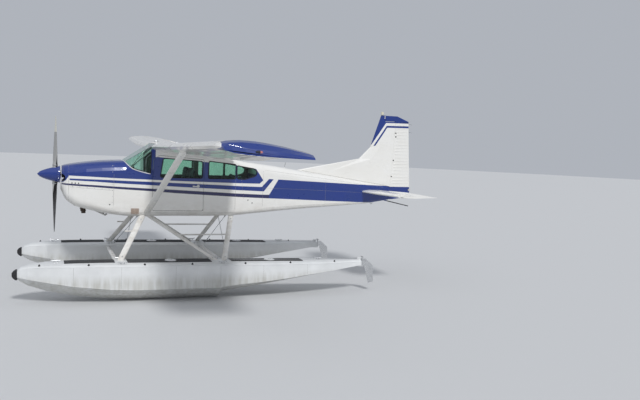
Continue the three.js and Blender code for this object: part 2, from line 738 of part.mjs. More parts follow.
const ELEVATOR_HINGES = [-1250, -430, 430, 1250];
const [hungElevator, hungStabilizer] = hang(
  elevator(),
  stabilizerBlank(0).subtract(elevatorCove()),
  ELEVATOR_HINGES.map((y) =>
    [v3(ELEVATOR_HINGE[0], y, ELEVATOR_HINGE[1]), Y_AXIS, X_AXIS.clone().negate(), ELEVATOR_R]),
);

piece('stabilizer', hungStabilizer, WHITE);
piece('elevator', hungElevator, WHITE);

// Wings, flaps, ailerons and tip caps
const wingRings = (side, grow) => [WING_ROOT_Y, STRUT_Y, CAP_Y]
  .map((y) => wingRing({ ...wingAt(y), y: y === WING_ROOT_Y ? y + SEAM : y }, side, grow));

const WING_RELIEF = [8, 25];

function wingCove(side) {
  const ring = (y, from) => {
    const station = wingAt(from);
    const radius = NOSE_PER_CHORD * station.chord + SWING_GAP;
    return coveSection(hingeOf(station), -radians(station.incidence), radius, 700, 150, WING_RELIEF)
      .map(([x, z]) => v3(x, side * y, z));
  };
  const end = AILERON_END_Y + SWING_GAP;
  return loft([ring(500, WING_ROOT_Y), ring(STRUT_Y, STRUT_Y), ring(end, end)]);
}

function surface(side, from, to) {
  return loft([from, to].map((y) => {
    const station = wingAt(y);
    return bladeSection(hingeOf(station), tailOf(station), NOSE_PER_CHORD * station.chord, 3)
      .map(([x, z]) => v3(x, side * y, z));
  }));
}

// Tip cap stations: span position, share of the thickness kept above the lower skin, how far
// the leading edge lies back and down, and added incidence in degrees.
const TIP = [
  [CAP_Y + SEAM, 1, 0, 0, 0],
  [5330, 0.86, 10, 5, 0.6],
  [5415, 0.48, 30, 14, 1.7],
  [SPAN_HALF, 0.12, 55, 24, 2.6],
];

function tipCap(side) {
  return loft(TIP.map(([y, squeeze, back, drop, twist]) => {
    const { x, z, chord, incidence } = wingAt(y);
    const section = { x: x + back, y, z: z - drop, chord: chord - back, incidence: incidence + twist };
    return wingRing(section, side, 0, squeeze);
  }));
}

// Places of the hinge brackets on one bay of the wing, whose hinge line is straight.
function wingHinges(side, from, to, stops) {
  const [start, end] = [from, to].map((y) => {
    const [x, z] = hingeOf(wingAt(y));
    return v3(x, side * y, z);
  });
  const axis = end.clone().sub(start).normalize();
  return stops.map((y) => {
    const station = wingAt(y);
    const turn = radians(station.incidence);
    const chordwise = v3(-Math.cos(turn), 0, Math.sin(turn));
    const forward = chordwise.addScaledVector(axis, -chordwise.dot(axis)).normalize();
    const at = start.clone().lerp(end, (y - from) / (to - from));
    return [at, axis, forward, NOSE_PER_CHORD * station.chord];
  });
}

const FLAP_HINGES = [900, 2250];
const AILERON_HINGES = [2900, 4650];

for (const [side, s] of SIDES) {
  const blank = loft(wingRings(s, 0)).subtract(wingCove(s));
  const flapBay = wingHinges(s, WING_ROOT_Y, STRUT_Y, FLAP_HINGES);
  const aileronBay = wingHinges(s, STRUT_Y, AILERON_END_Y, AILERON_HINGES);
  const [flap, withFlap] = hang(surface(s, WING_ROOT_Y + 15, STRUT_Y - SWING_GAP / 2), blank, flapBay);
  const [aileron, wing] = hang(surface(s, STRUT_Y + SWING_GAP / 2, AILERON_END_Y), withFlap, aileronBay);
  piece(`wing_${side}`, wing, WHITE);
  piece(`flap_${side}`, flap, WHITE);
  piece(`aileron_${side}`, aileron, WHITE);
  piece(`wing_tip_${side}`, tipCap(s), BLUE);
}

// Floats: station, keel, chine height and half beam, deck edge height and half width, deck crown.
const FLOAT = [
  [-627, -1700, -1672, 60, -1600, 52, -1582],
  [-560, -1752, -1680, 120, -1545, 108, -1513],
  [-430, -1830, -1700, 192, -1503, 178, -1468],
  [-130, -1935, -1745, 285, -1480, 268, -1438],
  [300, -2030, -1815, 345, -1476, 325, -1430],
  [900, -2112, -1880, 375, -1478, 350, -1430],
  [1400, KEEL_Z, -1905, 380, -1480, 355, -1434],
  [STEP_X, KEEL_Z, -1905, 380, -1494, 355, -1448],
  [STEP_X + 5, -2055, -1888, 376, -1494, 355, -1448],
  [4200, -1872, -1775, 330, -1508, 308, -1464],
  [5160, -1712, -1668, 235, -1522, 220, -1480],
  [STERN_X, -1606, -1590, 110, -1520, 100, -1486],
].map(([x, keel, chine, beam, edge, deck, crown]) => ({ x, keel, chine, beam, edge, deck, crown }));
const KEEL_HALF = 16;

function floatRing(row, side, grow) {
  const beam = row.beam + grow;
  const deck = row.deck + grow;
  const halfRing = [
    [KEEL_HALF + grow, row.keel - grow],
    [beam * 0.55, mix(row.keel, row.chine, 0.46) - grow],
    [beam, row.chine - grow],
    [deck, row.edge + grow],
    [deck * 0.86, mix(row.edge, row.crown, 0.5) + grow],
    [deck * 0.5, mix(row.edge, row.crown, 0.88) + grow],
  ];
  const ring = [...halfRing, [0, row.crown + grow], ...halfRing.map(([y, z]) => [-y, z]).reverse()];
  return ring.map(([y, z]) => v3(row.x, side * FLOAT_Y + y, z));
}

const floatHull = (side, grow = 0) => loft(FLOAT.map((row) => floatRing(row, side, grow)));

// Water rudder: a post between two lugs behind the stern, and a blade below it.
const POST_X = 5872;
const LUGS = [[-1460, -1446], [-1634, -1620]];

// Rubber nose block of a float: x, half width, lower and upper height.
const BUMPER = [
  [BOW_X, 26, -1668, -1612],
  [BOW_X + 26, 48, -1702, -1580],
  [BOW_X + 62, 58, -1728, -1556],
  [BOW_X + 86, 58, -1728, -1556],
];

function floatPiece(side) {
  const y = side * FLOAT_Y;
  const bumper = loft(BUMPER.map(([x, half, low, high]) =>
    [[-half, low], [half, low], [half, high], [-half, high]].map(([dy, z]) => v3(x, y + dy, z))));
  return LUGS.reduce((sum, [low, high]) => sum
    .add(block([STERN_X - 60, y - 16, low], [POST_X, y + 16, high]))
    .add(rod(v3(POST_X, y, low), v3(POST_X, y, high), 18, 16)), floatHull(side).add(bumper))
    .add(block([STERN_X - 60, y - 16, LUGS[1][0]], [STERN_X + 12, y + 16, LUGS[0][1]]));
}

function waterRudder(side) {
  const y = side * FLOAT_Y;
  const play = 0.5;
  const blade = [
    [POST_X, -1600], [POST_X, -1480], [5950, -1480], [6120, -1625],
    [6140, -1960], [6035, -1985], [5940, -1680], [5915, -1600],
  ];
  return rod(v3(POST_X, y, LUGS[1][1] + play), v3(POST_X, y, LUGS[0][0] - play), 15, 16)
    .add(prismY(blade, y - 5, y + 5));
}

for (const [side, s] of SIDES) {
  piece(`float_${side}`, floatPiece(s), WHITE);
  piece(`water_rudder_${side}`, waterRudder(s), METAL);
}

// Struts, spreader bars and brace wires, each cut to its seat on the fuselage, wing or float
const hulls = Object.fromEntries(SIDES.map(([side, s]) => [side, floatHull(s, SEAM)]));
const belly = fuselage(COWL_FRONT_X, BULKHEAD_X, SEAM);
const NEAR_FLOAT = 60;

function rigged(from, to, chord, thick, side) {
  return fairedStrut(...stretched(from, to, NEAR_FLOAT), chord, thick)
    .subtract(belly)
    .subtract(hulls[side]);
}

// Float struts: name, top point, foot point, chord, thickness, for the starboard side.
const FLOAT_STRUTS = [
  ['front_float_strut', [1580, 505, -690], [1100, 1240, -1450], 110, 46],
  ['rear_float_strut', [3322, 440, -690], [3000, 1320, -1460], 100, 42],
  ['diagonal_strut', [1672, 490, -690], [2852, 1300, -1460], 76, 36],
];
const STEP_BAR_Z = -1026;
const PEG = { front: 1225, z: -964, r: 13 };

const alongStrut = (top, foot, z) => top.clone().lerp(foot, (z - top.z) / (foot.z - top.z));

for (const [side, s] of SIDES) {
  const ends = Object.fromEntries(FLOAT_STRUTS.map(([name, top, foot]) => [
    name,
    [v3(top[0], s * top[1], top[2]), v3(foot[0], s * foot[1], foot[2])],
  ]));
  const parts = Object.fromEntries(FLOAT_STRUTS.map(([name, , , chord, thick]) => [
    name,
    rigged(...ends[name], chord, thick, side),
  ]));
  const [rearTop, rearFoot] = ends.rear_float_strut;
  const rearGrown = fairedStrut(...stretched(rearTop, rearFoot, 80), 100 + 2 * SEAM, 42 + 2 * SEAM);
  const stepFrom = alongStrut(...ends.diagonal_strut, STEP_BAR_Z);
  const stepTo = alongStrut(rearTop, rearFoot, STEP_BAR_Z);
  parts.diagonal_strut = parts.diagonal_strut.add(rod(stepFrom, stepTo, 14, 12).subtract(rearGrown));
  const pegRoot = alongStrut(...ends.front_float_strut, PEG.z);
  parts.front_float_strut = parts.front_float_strut
    .add(rod(pegRoot, v3(PEG.front, pegRoot.y, PEG.z), PEG.r, 12));
  for (const [name] of FLOAT_STRUTS) piece(`${name}_${side}`, parts[name], WHITE);
  const wingEnds = stretched(v3(1652, s * 530, -640), v3(1970, s * STRUT_Y, 600), 70);
  const wingStrut = fairedStrut(...wingEnds, 130, 52)
    .subtract(belly)
    .subtract(loft(wingRings(s, SEAM)));
  piece(`wing_strut_${side}`, wingStrut, WHITE);
}

for (const [place, x] of [['front', 1070], ['rear', 3010]]) {
  const bar = fairedStrut(v3(x, -1250, -1512), v3(x, 1250, -1512), 90, 44, 14)
    .subtract(hulls.left)
    .subtract(hulls.right);
  piece(`${place}_spreader_bar`, bar, WHITE);
}

// Brace wires: place, x at the fuselage, x at the float, half width at the fuselage.
const WIRES = [['front', 1500, 1180, 430], ['rear', 3230, 3120, 360]];
const WIRE_R = 5;
const WIRE_APART = 9;

for (const [place, topX, footX, topY] of WIRES) {
  for (const [side, s] of SIDES) {
    const shift = s * WIRE_APART;
    const ends = stretched(v3(topX + shift, -s * topY, -690), v3(footX + shift, s * 1080, -1462), 60);
    const wire = rod(...ends, WIRE_R, 8).subtract(belly).subtract(hulls[side]);
    piece(`${place}_wire_to_${side}`, wire, METAL);
  }
}

export default plane;
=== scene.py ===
import json
import math

import bpy
from mathutils import Matrix, Vector
from mathutils.bvhtree import BVHTree

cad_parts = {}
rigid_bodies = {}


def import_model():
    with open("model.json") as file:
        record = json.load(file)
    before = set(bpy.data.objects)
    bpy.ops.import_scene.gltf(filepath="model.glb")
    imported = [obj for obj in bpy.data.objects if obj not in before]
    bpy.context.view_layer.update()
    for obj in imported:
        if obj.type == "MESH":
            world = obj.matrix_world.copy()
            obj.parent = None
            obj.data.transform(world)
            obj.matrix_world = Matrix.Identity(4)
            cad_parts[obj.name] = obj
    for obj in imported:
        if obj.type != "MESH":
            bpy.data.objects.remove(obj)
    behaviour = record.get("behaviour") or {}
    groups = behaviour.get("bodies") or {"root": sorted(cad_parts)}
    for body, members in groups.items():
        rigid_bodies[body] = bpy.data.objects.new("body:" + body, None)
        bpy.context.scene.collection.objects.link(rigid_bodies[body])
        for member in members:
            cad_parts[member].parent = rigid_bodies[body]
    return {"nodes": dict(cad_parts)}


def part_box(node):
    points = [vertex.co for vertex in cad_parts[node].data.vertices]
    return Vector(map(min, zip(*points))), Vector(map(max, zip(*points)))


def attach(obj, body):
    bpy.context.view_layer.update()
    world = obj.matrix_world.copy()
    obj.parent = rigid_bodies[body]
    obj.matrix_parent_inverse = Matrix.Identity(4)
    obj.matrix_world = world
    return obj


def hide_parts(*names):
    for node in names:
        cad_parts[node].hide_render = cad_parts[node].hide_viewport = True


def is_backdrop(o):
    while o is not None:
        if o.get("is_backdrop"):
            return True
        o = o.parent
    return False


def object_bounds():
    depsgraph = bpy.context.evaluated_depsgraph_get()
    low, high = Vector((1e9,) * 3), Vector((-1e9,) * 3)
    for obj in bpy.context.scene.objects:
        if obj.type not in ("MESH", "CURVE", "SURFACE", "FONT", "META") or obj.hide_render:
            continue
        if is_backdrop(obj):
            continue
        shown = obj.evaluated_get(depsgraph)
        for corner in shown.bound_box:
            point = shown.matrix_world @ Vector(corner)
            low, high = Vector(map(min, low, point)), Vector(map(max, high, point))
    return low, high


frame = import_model()
cad_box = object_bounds()
NODES = frame["nodes"]
SIDES = (("left", -1), ("right", 1))

# Stations, as on a builder's drawing: metres aft of the propeller, and up from the datum line
AFT, UP = 3.434, 2.140
SHAFT_Z = 0.030
FIREWALL_X = 1.06
FLOOR_Z = -0.55
X, Y, Z = Vector((1, 0, 0)), Vector((0, 1, 0)), Vector((0, 0, 1))
DOWN = -Z


def at(x, y, z):
    return Vector((x - AFT, y, z + UP))


# Materials


class Value:
    """A socket that takes part in Python arithmetic, each operator as one Math node."""

    def __init__(self, finish, socket):
        self.finish = finish
        self.socket = socket

    def math(self, operation, *values):
        sockets = dict(enumerate(values))
        return self.finish.node("ShaderNodeMath", {"operation": operation}, sockets)

    def __add__(self, other):
        return self.math("ADD", self, other)

    def __sub__(self, other):
        return self.math("SUBTRACT", self, other)

    def __rsub__(self, other):
        return self.math("SUBTRACT", other, self)

    def __mul__(self, other):
        return self.math("MULTIPLY", self, other)

    def __gt__(self, other):
        return self.math("GREATER_THAN", self, other)

    def __lt__(self, other):
        return self.math("LESS_THAN", self, other)

    def __or__(self, other):
        return self.math("MAXIMUM", self, other)

    __and__ = __mul__


class Finish:
    """A procedural material, with its Principled shader and the place on the object."""

    def __init__(self, name, roughness=0.4, metallic=0.0, coat=0.0):
        self.material = bpy.data.materials.new(name)
        self.material.use_nodes = True
        self.tree = self.material.node_tree
        self.shader = self.tree.nodes["Principled BSDF"]
        self.set("Roughness", roughness)
        self.set("Metallic", metallic)
        self.set("Coat Weight", coat)
        self.place = self.node("ShaderNodeTexCoord", output="Object")
        parts = self.tree.nodes.new("ShaderNodeSeparateXYZ")
        self.tree.links.new(self.place.socket, parts.inputs[0])
        x, self.y, z = (Value(self, socket) for socket in parts.outputs)
        self.x = x + AFT
        self.z = z - UP

    def node(self, kind, settings=None, sockets=None, output=0):
        made = self.tree.nodes.new(kind)
        for key, value in (settings or {}).items():
            setattr(made, key, value)
        for key, value in (sockets or {}).items():
            self.feed(made.inputs[key], value)
        return Value(self, made.outputs[output])

    def feed(self, socket, value):
        if isinstance(value, Value):
            self.tree.links.new(value.socket, socket)
        elif isinstance(value, tuple) and len(value) == 3 and socket.type == "RGBA":
            socket.default_value = (*value, 1)
        else:
            socket.default_value = value

    def set(self, name, value):
        self.feed(self.shader.inputs[name], value)

    def noise(self, scale, detail=3.0, stretch=(1, 1, 1), rough=0.55):
        place = self.node("ShaderNodeMapping", None, {"Vector": self.place, "Scale": stretch})
        sockets = {"Vector": place, "Scale": scale, "Detail": detail, "Roughness": rough}
        return self.node("ShaderNodeTexNoise", None, sockets)

    def ramp(self, value, low, high, start=0.0, end=1.0):
        sockets = {"Value": value, 1: low, 2: high, 3: start, 4: end}
        return self.node("ShaderNodeMapRange", None, sockets)

    def mix(self, mask, first, second):
        sockets = {0: mask, 6: first, 7: second}
        return self.node("ShaderNodeMix", {"data_type": "RGBA"}, sockets, 2)

    def bump(self, height, distance, strength=1.0):
        sockets = {"Height": height, "Distance": distance, "Strength": strength}
        self.set("Normal", self.node("ShaderNodeBump", None, sockets))

    def line(self, points):
        """A line over stations X, as its height at each of the given ones."""
        (x, level), *rest = points
        total = None
        for far, height in rest:
            step = self.ramp(self.x, x, far, 0.0, height - level)
            total = step if total is None else total + step
            x, level = far, height
        return total + points[0][1]


WHITE = (0.82, 0.81, 0.78)
ROYAL = (0.005, 0.030, 0.215)
NAVY = (0.012, 0.014, 0.085)

# Edges of the stripes: height over the stations
STRIPE_TOP = ((0.2, 0.033), (0.55, 0.027), (1.03, 0.011), (1.70, -0.004), (2.36, -0.020),
              (3.05, -0.031), (3.46, -0.039), (3.87, -0.042))
STRIPE_LOW = ((0.2, -0.020), (0.9, -0.026), (1.3, -0.037), (1.70, -0.045), (2.36, -0.063),
              (3.05, -0.081), (3.46, -0.096), (3.87, -0.107))
SECOND_TOP = ((0.2, -0.05), (0.71, -0.066), (1.03, -0.083), (1.70, -0.108), (2.36, -0.136),
              (2.75, -0.149), (3.05, -0.160), (3.46, -0.178), (3.94, -0.197))
SECOND_LOW = ((0.13, -0.113), (0.71, -0.131), (1.03, -0.147), (1.70, -0.174), (2.17, -0.190),
              (2.56, -0.207), (3.05, -0.227), (3.46, -0.247), (4.0, -0.266))
THIN_LOW = ((0.13, -0.143), (0.71, -0.169), (1.14, -0.194), (1.70, -0.222), (2.17, -0.253), (2.75, -0.281),
            (3.26, -0.306), (3.79, -0.329), (4.51, -0.355), (5.39, -0.392), (6.31, -0.424), (7.6, -0.472))
BAND_TOP = ((3.9, 0.062), (4.3, 0.048), (4.79, 0.026), (5.5, -0.004), (6.25, -0.037), (6.98, -0.062),
            (7.06, -0.080), (7.6, -0.080))
WINDOW_BAND_TOP = ((1.83, 0.433), (3.36, 0.32), (3.74, 0.268), (3.80, 0.25), (3.87, 0.154), (3.956, 0.03))
# Stations where the stripes start, the blue leaves the windshield, the tail's band starts and the navy ends
STRIPES_FROM, PILLAR_X, BAND_FROM, NAVY_TO = 0.113, 1.79, 3.9, 4.1
SPRING_X = 7.012
BUMPER_X = -0.602
DRY_Z, WET_Z = -1.62, -1.78
PALE_TIP = 0.80


def livery(finish):
    """Blue over white with its stripes, as a mask and a share of navy in the blue."""
    x, z = finish.x, finish.z

    def outside(points, corner, slope):
        below = finish.line(points) - z
        behind = x - corner[0] - (z - corner[1]) * slope
        return below | behind

    first = outside(STRIPE_TOP, (3.892, -0.035), 1.1)
    first_low = outside(STRIPE_LOW, (3.935, -0.107), 0.92)
    second = outside(SECOND_TOP, (3.982, -0.195), 0.84)
    second_low = outside(SECOND_LOW, (4.101, -0.266), 0.62)
    nose = (x < (z + 0.06) * 0.6 + 0.185) & (z > -0.062)
    below_band_top = z < finish.line(BAND_TOP)
    forward = x < PILLAR_X
    upper_edge = z < finish.line(WINDOW_BAND_TOP)
    upper = (first < 0.0) & (forward | upper_edge)
    middle = (first_low > 0.0) & (second < 0.0) & (x > 0.25)
    lower = (second_low > 0.0) & (z > finish.line(THIN_LOW))
    tail_clip = (x < BAND_FROM) | below_band_top
    blue = upper | nose | ((middle | lower) & tail_clip)
    return blue & (x > STRIPES_FROM), lower & (x < NAVY_TO)


def fin_cap(finish):
    """The blue cap of the fin with its two lines, as a mask of blue."""
    x, z = finish.x, finish.z

    def outside(level, corner, slope):
        return (z - (x - corner) * 0.02 - level) | ((z - level) * slope + corner - x)

    cap = outside(1.335, 6.877, 0.66) > 0.0
    line_start = outside(1.275, 6.897, 0.66) > 0.0
    line_end = outside(1.232, 6.912, 0.66) > 0.0
    return (cap & (z > 0.80)) | ((line_end & (1 - line_start)) & (z > 0.82))


def painted(name, pattern=None, inside=None, base=WHITE):
    finish = Finish(name, roughness=0.3, coat=0.6)
    dirt = finish.noise(2.2, 5.0, (1, 1, 1.6))
    grime_and_shade = finish.noise(9.0, 4.0, (0.5, 1, 1))
    tone = finish.ramp(dirt, 0.35, 0.7, 0.0, 0.5)
    colour = finish.mix(tone, base, tuple(c * k for c, k in zip(base, (0.93, 0.915, 0.88))))
    # Darker and warmer towards the bottom, in blotches: painted shade with warm light reflected from below.
    low = finish.ramp(finish.z, -0.35, -0.72, 0.0, 0.5) * finish.ramp(grime_and_shade, 0.35, 0.7)
    colour = finish.mix(low, colour, (0.42, 0.37, 0.31))
    if pattern:
        blue, navy = pattern(finish)
        shade = finish.mix(navy, finish.mix(tone, ROYAL, (0.008, 0.034, 0.18)), NAVY)
        colour = finish.mix(blue, colour, shade)
    rough = finish.ramp(grime_and_shade, 0.3, 0.75, 0.24, 0.42)
    if inside:
        mask, lining = inside(finish)
        colour = finish.mix(mask, colour, lining)
        rough = rough + mask * 0.4
    finish.set("Base Color", colour)
    finish.set("Roughness", rough)
    finish.bump(finish.noise(60.0, 2.0), 0.0004, 0.35)
    return finish.material


def cabin_inside(finish):
    """What lies deeper than the outer skin of the cabin, as a mask, and its lining, darkened as painted
    shade of the cabin's inside.
    """
    facing = finish.node("ShaderNodeNewGeometry", output="True Normal")
    from_middle = finish.node("ShaderNodeCombineXYZ", None, {"Y": finish.y, "Z": finish.z + 0.12})
    outward = finish.node("ShaderNodeVectorMath", {"operation": "DOT_PRODUCT"},
                          {0: facing, 1: from_middle}, "Value")
    deep = (outward < -0.01) & (finish.x > FIREWALL_X)
    fleck = finish.noise(180.0, 2.0)
    floor = finish.z < FLOOR_Z
    # Dark grey lining: a real lining, darkened in its colour as painted shade inside the cabin.
    trim = finish.mix(fleck, (0.075, 0.07, 0.062), (0.12, 0.11, 0.10))
    carpet = finish.mix(fleck, (0.02, 0.021, 0.025), (0.05, 0.05, 0.055))
    return deep, finish.mix(floor, trim, carpet)


def blue_behind_edge(finish):
    """Blue on the wing tips but for their leading edge, and no navy."""
    return finish.x > finish.ramp(finish.z, 0.70, 0.80, 1.915, 1.965), 0.0


def tail_spring(finish):
    """The steel spring behind the tail cone, as a mask, and its colour."""
    return finish.x > SPRING_X, (0.05, 0.052, 0.055)


def glass(name, tint, alpha):
    finish = Finish(name, roughness=0.05, coat=0.3)
    smear = finish.noise(7.0, 4.0, (1, 1, 0.4))
    finish.set("Base Color", finish.mix(smear, tint, tuple(c * 0.8 for c in tint)))
    finish.set("Alpha", finish.ramp(smear, 0.3, 0.8, alpha, alpha + 0.06))
    finish.set("Roughness", finish.ramp(smear, 0.3, 0.8, 0.03, 0.09))
    return finish.material


def glazing(name, tint):
    """Clear tinted sheet: light goes through it, and it keeps its gloss."""
    finish = Finish(name, roughness=0.02, coat=0.2)
    finish.set("Transmission Weight", 1.0)
    finish.set("IOR", 1.2)
    smear = finish.noise(6.0, 4.0, (1, 1, 0.4))
    finish.set("Base Color", finish.mix(finish.ramp(smear, 0.35, 0.7), tint, tuple(c * 0.93 for c in tint)))
    return finish.material


def metal(name, colour, roughness, metallic=0.9, grain=40.0, stretch=(1, 1, 1), depth=0.0003):
    finish = Finish(name, roughness, metallic)
    grit = finish.noise(grain, 4.0, stretch)
    dark = tuple(c * 0.72 for c in colour)
    finish.set("Base Color", finish.mix(finish.ramp(grit, 0.3, 0.7), colour, dark))
    finish.set("Roughness", finish.ramp(grit, 0.3, 0.7, roughness * 0.8, roughness * 1.25))
    finish.bump(grit, depth, 0.4)
    return finish.material


def plain(name, colour, roughness, fleck=90.0, depth=0.0003):
    return metal(name, colour, roughness, 0.0, fleck, (1, 1, 1), depth)


def blade_paint():
    finish = Finish("blade_paint", 0.4)
    from_shaft = finish.node("ShaderNodeCombineXYZ", None, {"Y": finish.y, "Z": finish.z - SHAFT_Z})
    spin = finish.node("ShaderNodeVectorMath", {"operation": "LENGTH"}, {0: from_shaft}, "Value")
    facing = finish.node("ShaderNodeNewGeometry", output="Normal")
    along = finish.node("ShaderNodeSeparateXYZ", None, {0: facing}, 0)
    front = along < 0.0
    worn = finish.noise(30.0, 4.0)
    colour = finish.mix(front, (0.02, 0.02, 0.022), (0.36, 0.36, 0.35))
    colour = finish.mix(front & (spin > PALE_TIP), colour, (0.74, 0.72, 0.63))
    colour = finish.mix(finish.ramp(worn, 0.62, 0.72), colour, (0.3, 0.3, 0.3))
    finish.set("Base Color", colour)
    finish.set("Roughness", finish.ramp(worn, 0.3, 0.7, 0.3, 0.5))
    finish.bump(worn, 0.0004, 0.3)
    return finish.material


def float_paint():
    finish = Finish("float_enamel", 0.35, coat=0.25)
    dirt = finish.noise(3.0, 5.0)
    streak = finish.noise(14.0, 4.0, (1, 1, 0.12))
    body = finish.mix(finish.ramp(dirt, 0.35, 0.7), (0.75, 0.76, 0.76), (0.66, 0.67, 0.67))
    wet = finish.ramp(finish.z, DRY_Z, WET_Z) & finish.ramp(streak, 0.3, 0.7, 0.15, 0.75)
    body = finish.mix(wet, body, (0.42, 0.41, 0.36))
    rubber = finish.x < BUMPER_X
    colour = finish.mix(rubber, body, (0.018, 0.018, 0.02))
    finish.set("Base Color", colour)
    finish.set("Roughness", finish.ramp(dirt, 0.3, 0.7, 0.3, 0.5) + rubber * 0.3)
    finish.bump(finish.noise(45.0, 3.0), 0.0006, 0.35)
    return finish.material


def with_cap(finish):
    blue, navy = livery(finish)
    return (blue & (finish.z < 0.0)) | fin_cap(finish), navy


PAINT = painted("fuselage_paint", livery, tail_spring)
SHELL_PAINT = painted("cabin_paint", livery, cabin_inside)
TAIL_PAINT = painted("fin_paint", with_cap)
WHITE_PAINT = painted("white_enamel")
BLUE_PAINT = painted("blue_enamel", base=ROYAL)
TIP_PAINT = painted("wing_tip_paint", blue_behind_edge)
FLOAT_PAINT = float_paint()
BLADE_PAINT = blade_paint()
GLAZING = glazing("green_glazing", (0.52, 0.79, 0.66))
WIND_GLAZING = glazing("windshield_glazing", (0.62, 0.85, 0.76))
LENS = glass("cream_lens", (0.85, 0.80, 0.62), 0.9)
BRIGHT = metal("bright_metal", (0.72, 0.73, 0.74), 0.28)
STEEL = metal("cable_steel", (0.42, 0.43, 0.44), 0.4)
CAST = metal("cast_engine", (0.12, 0.115, 0.11), 0.65, 0.4, 60.0, depth=0.002)
BURNT = metal("burnt_steel", (0.10, 0.075, 0.06), 0.6, 0.7)
WRINKLE = plain("wrinkle_black", (0.03, 0.03, 0.032), 0.7, 240.0, 0.0006)
RUBBER = plain("black_rubber", (0.02, 0.02, 0.022), 0.75)
CLOTH = plain("seat_cloth", (0.16, 0.17, 0.21), 0.95, 320.0, 0.0008)
JOINT_GREY = plain("joint_sealant", (0.33, 0.32, 0.30), 0.6)
NAVY_LINE = plain("dark_joint", (0.01, 0.012, 0.03), 0.6)
STAINED = plain("stained_plate", (0.42, 0.33, 0.27), 0.55, 40.0)
GRIP = plain("deck_grip", (0.05, 0.052, 0.055), 0.9, 300.0, 0.001)
WEBBING = plain("belt_webbing", (0.045, 0.047, 0.055), 0.8, 400.0, 0.0004)
# Red lens paled to pink: the red is the lens's own colour, the paleness is a painted highlight. The same
# colour serves the red knobs.
RED_LENS = glass("red_lens", (0.66, 0.25, 0.24), 0.85)
GREEN_LENS = glass("green_lens", (0.22, 0.52, 0.34), 0.85)

NODE_FINISH = {
    "engine_block": CAST, "exhaust_pipes": BURNT, "cowling": PAINT, "spinner": BLUE_PAINT,
    "propeller": BLADE_PAINT, "cabin_shell": SHELL_PAINT, "windshield": WIND_GLAZING,
    "instrument_panel": WRINKLE, "tail_cone": PAINT, "fin": TAIL_PAINT, "rudder": TAIL_PAINT,
    "beacon_lamp": LENS, "front_seat_left": CLOTH, "front_seat_right": CLOTH, "rear_bench": CLOTH,
}
SIDE_FINISH = {
    "door": SHELL_PAINT, "door_glass": GLAZING, "middle_window": GLAZING, "rear_window": GLAZING,
    "wing_tip": TIP_PAINT, "float": FLOAT_PAINT, "water_rudder": BRIGHT,
    "front_wire_to": STEEL, "rear_wire_to": STEEL,
}
for name, node in NODES.items():
    stem = name.removesuffix("_left").removesuffix("_right")
    material = NODE_FINISH.get(name) or SIDE_FINISH.get(stem) or WHITE_PAINT
    node.data.materials.clear()
    node.data.materials.append(material)

# Modelling, as by hand

ops = bpy.ops
TREES = {}


def deselect():
    ops.object.select_all(action="DESELECT")


def finished(name, material, body="airframe", smooth=35):
    """Names the active piece, gives it its finish and lets it ride on its body."""
    piece = bpy.context.object
    deselect()
    piece.select_set(True)
    ops.object.transform_apply(location=True, rotation=True, scale=True)
    ops.object.shade_smooth_by_angle(angle=math.radians(smooth))
    piece.name = piece.data.name = name
    piece.data.materials.clear()
    piece.data.materials.append(material)
    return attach(piece, body)


def path(points, closed=False):
    """Edges through the points, drawn by pulling one vertex from each to the next."""
    deselect()
    ops.mesh.primitive_plane_add(size=0.01, location=points[0])
    ops.object.mode_set(mode="EDIT")
    ops.mesh.merge(type="CENTER")
    for last, point in zip(points, points[1:]):
        ops.mesh.extrude_region_move(TRANSFORM_OT_translate={"value": point - last})
    if closed:
        ops.mesh.extrude_region_move(TRANSFORM_OT_translate={"value": points[0] - points[-1]})
        ops.mesh.select_all(action="SELECT")
        ops.mesh.remove_doubles(threshold=1e-5)
    ops.object.mode_set(mode="OBJECT")
    ops.object.transform_apply(location=True, rotation=True, scale=True)
    return bpy.context.object


def wire(points, radius, closed=False, sides=2):
    path(points, closed)
    ops.object.convert(target="CURVE")
    curve = bpy.context.object.data
    curve.bevel_depth = radius
    curve.bevel_resolution = sides
    curve.use_fill_caps = not closed
    ops.object.convert(target="MESH")
    return bpy.context.object


def panel(points, thickness, bevel=0.0):
    """A flat plate with that outline, pulled up by the thickness vector."""
    path(points, True)
    ops.object.mode_set(mode="EDIT")
    ops.mesh.select_all(action="SELECT")
    ops.mesh.edge_face_add()
    ops.mesh.extrude_region_move(TRANSFORM_OT_translate={"value": thickness})
    ops.mesh.select_all(action="SELECT")
    ops.mesh.normals_make_consistent(inside=False)
    if bevel:
        ops.mesh.bevel(offset=bevel, segments=2, affect="EDGES")
    ops.object.mode_set(mode="OBJECT")
    return bpy.context.object


def block(centre, size, bevel, turn=None):
    deselect()
    ops.mesh.primitive_cube_add(size=1, location=centre, scale=size)
    if turn:
        bpy.context.object.rotation_euler = turn
    ops.object.transform_apply(location=True, rotation=True, scale=True)
    ops.object.mode_set(mode="EDIT")
    ops.mesh.bevel(offset=bevel, segments=2, affect="EDGES")
    ops.object.mode_set(mode="OBJECT")
    return bpy.context.object


def turned(profile, centre, axis, turns=24):
    """A turned piece, from a profile of distances along the axis and radii."""
    axis = Vector(axis).normalized()
    across = axis.orthogonal().normalized()
    path([Vector(centre) + axis * along + across * radius for along, radius in profile])
    ops.object.mode_set(mode="EDIT")
    ops.mesh.select_all(action="SELECT")
    ops.mesh.spin(steps=turns, angle=2 * math.pi, center=centre, axis=axis)
    ops.mesh.select_all(action="SELECT")
    ops.mesh.remove_doubles(threshold=1e-5)
    ops.mesh.normals_make_consistent(inside=False)
    ops.object.mode_set(mode="OBJECT")
    return bpy.context.object


def bar(name, material, points, radius, body="airframe", closed=False, sides=2):
    """A round bar along the points, finished."""
    wire(points, radius, closed, sides)
    return finished(name, material, body)


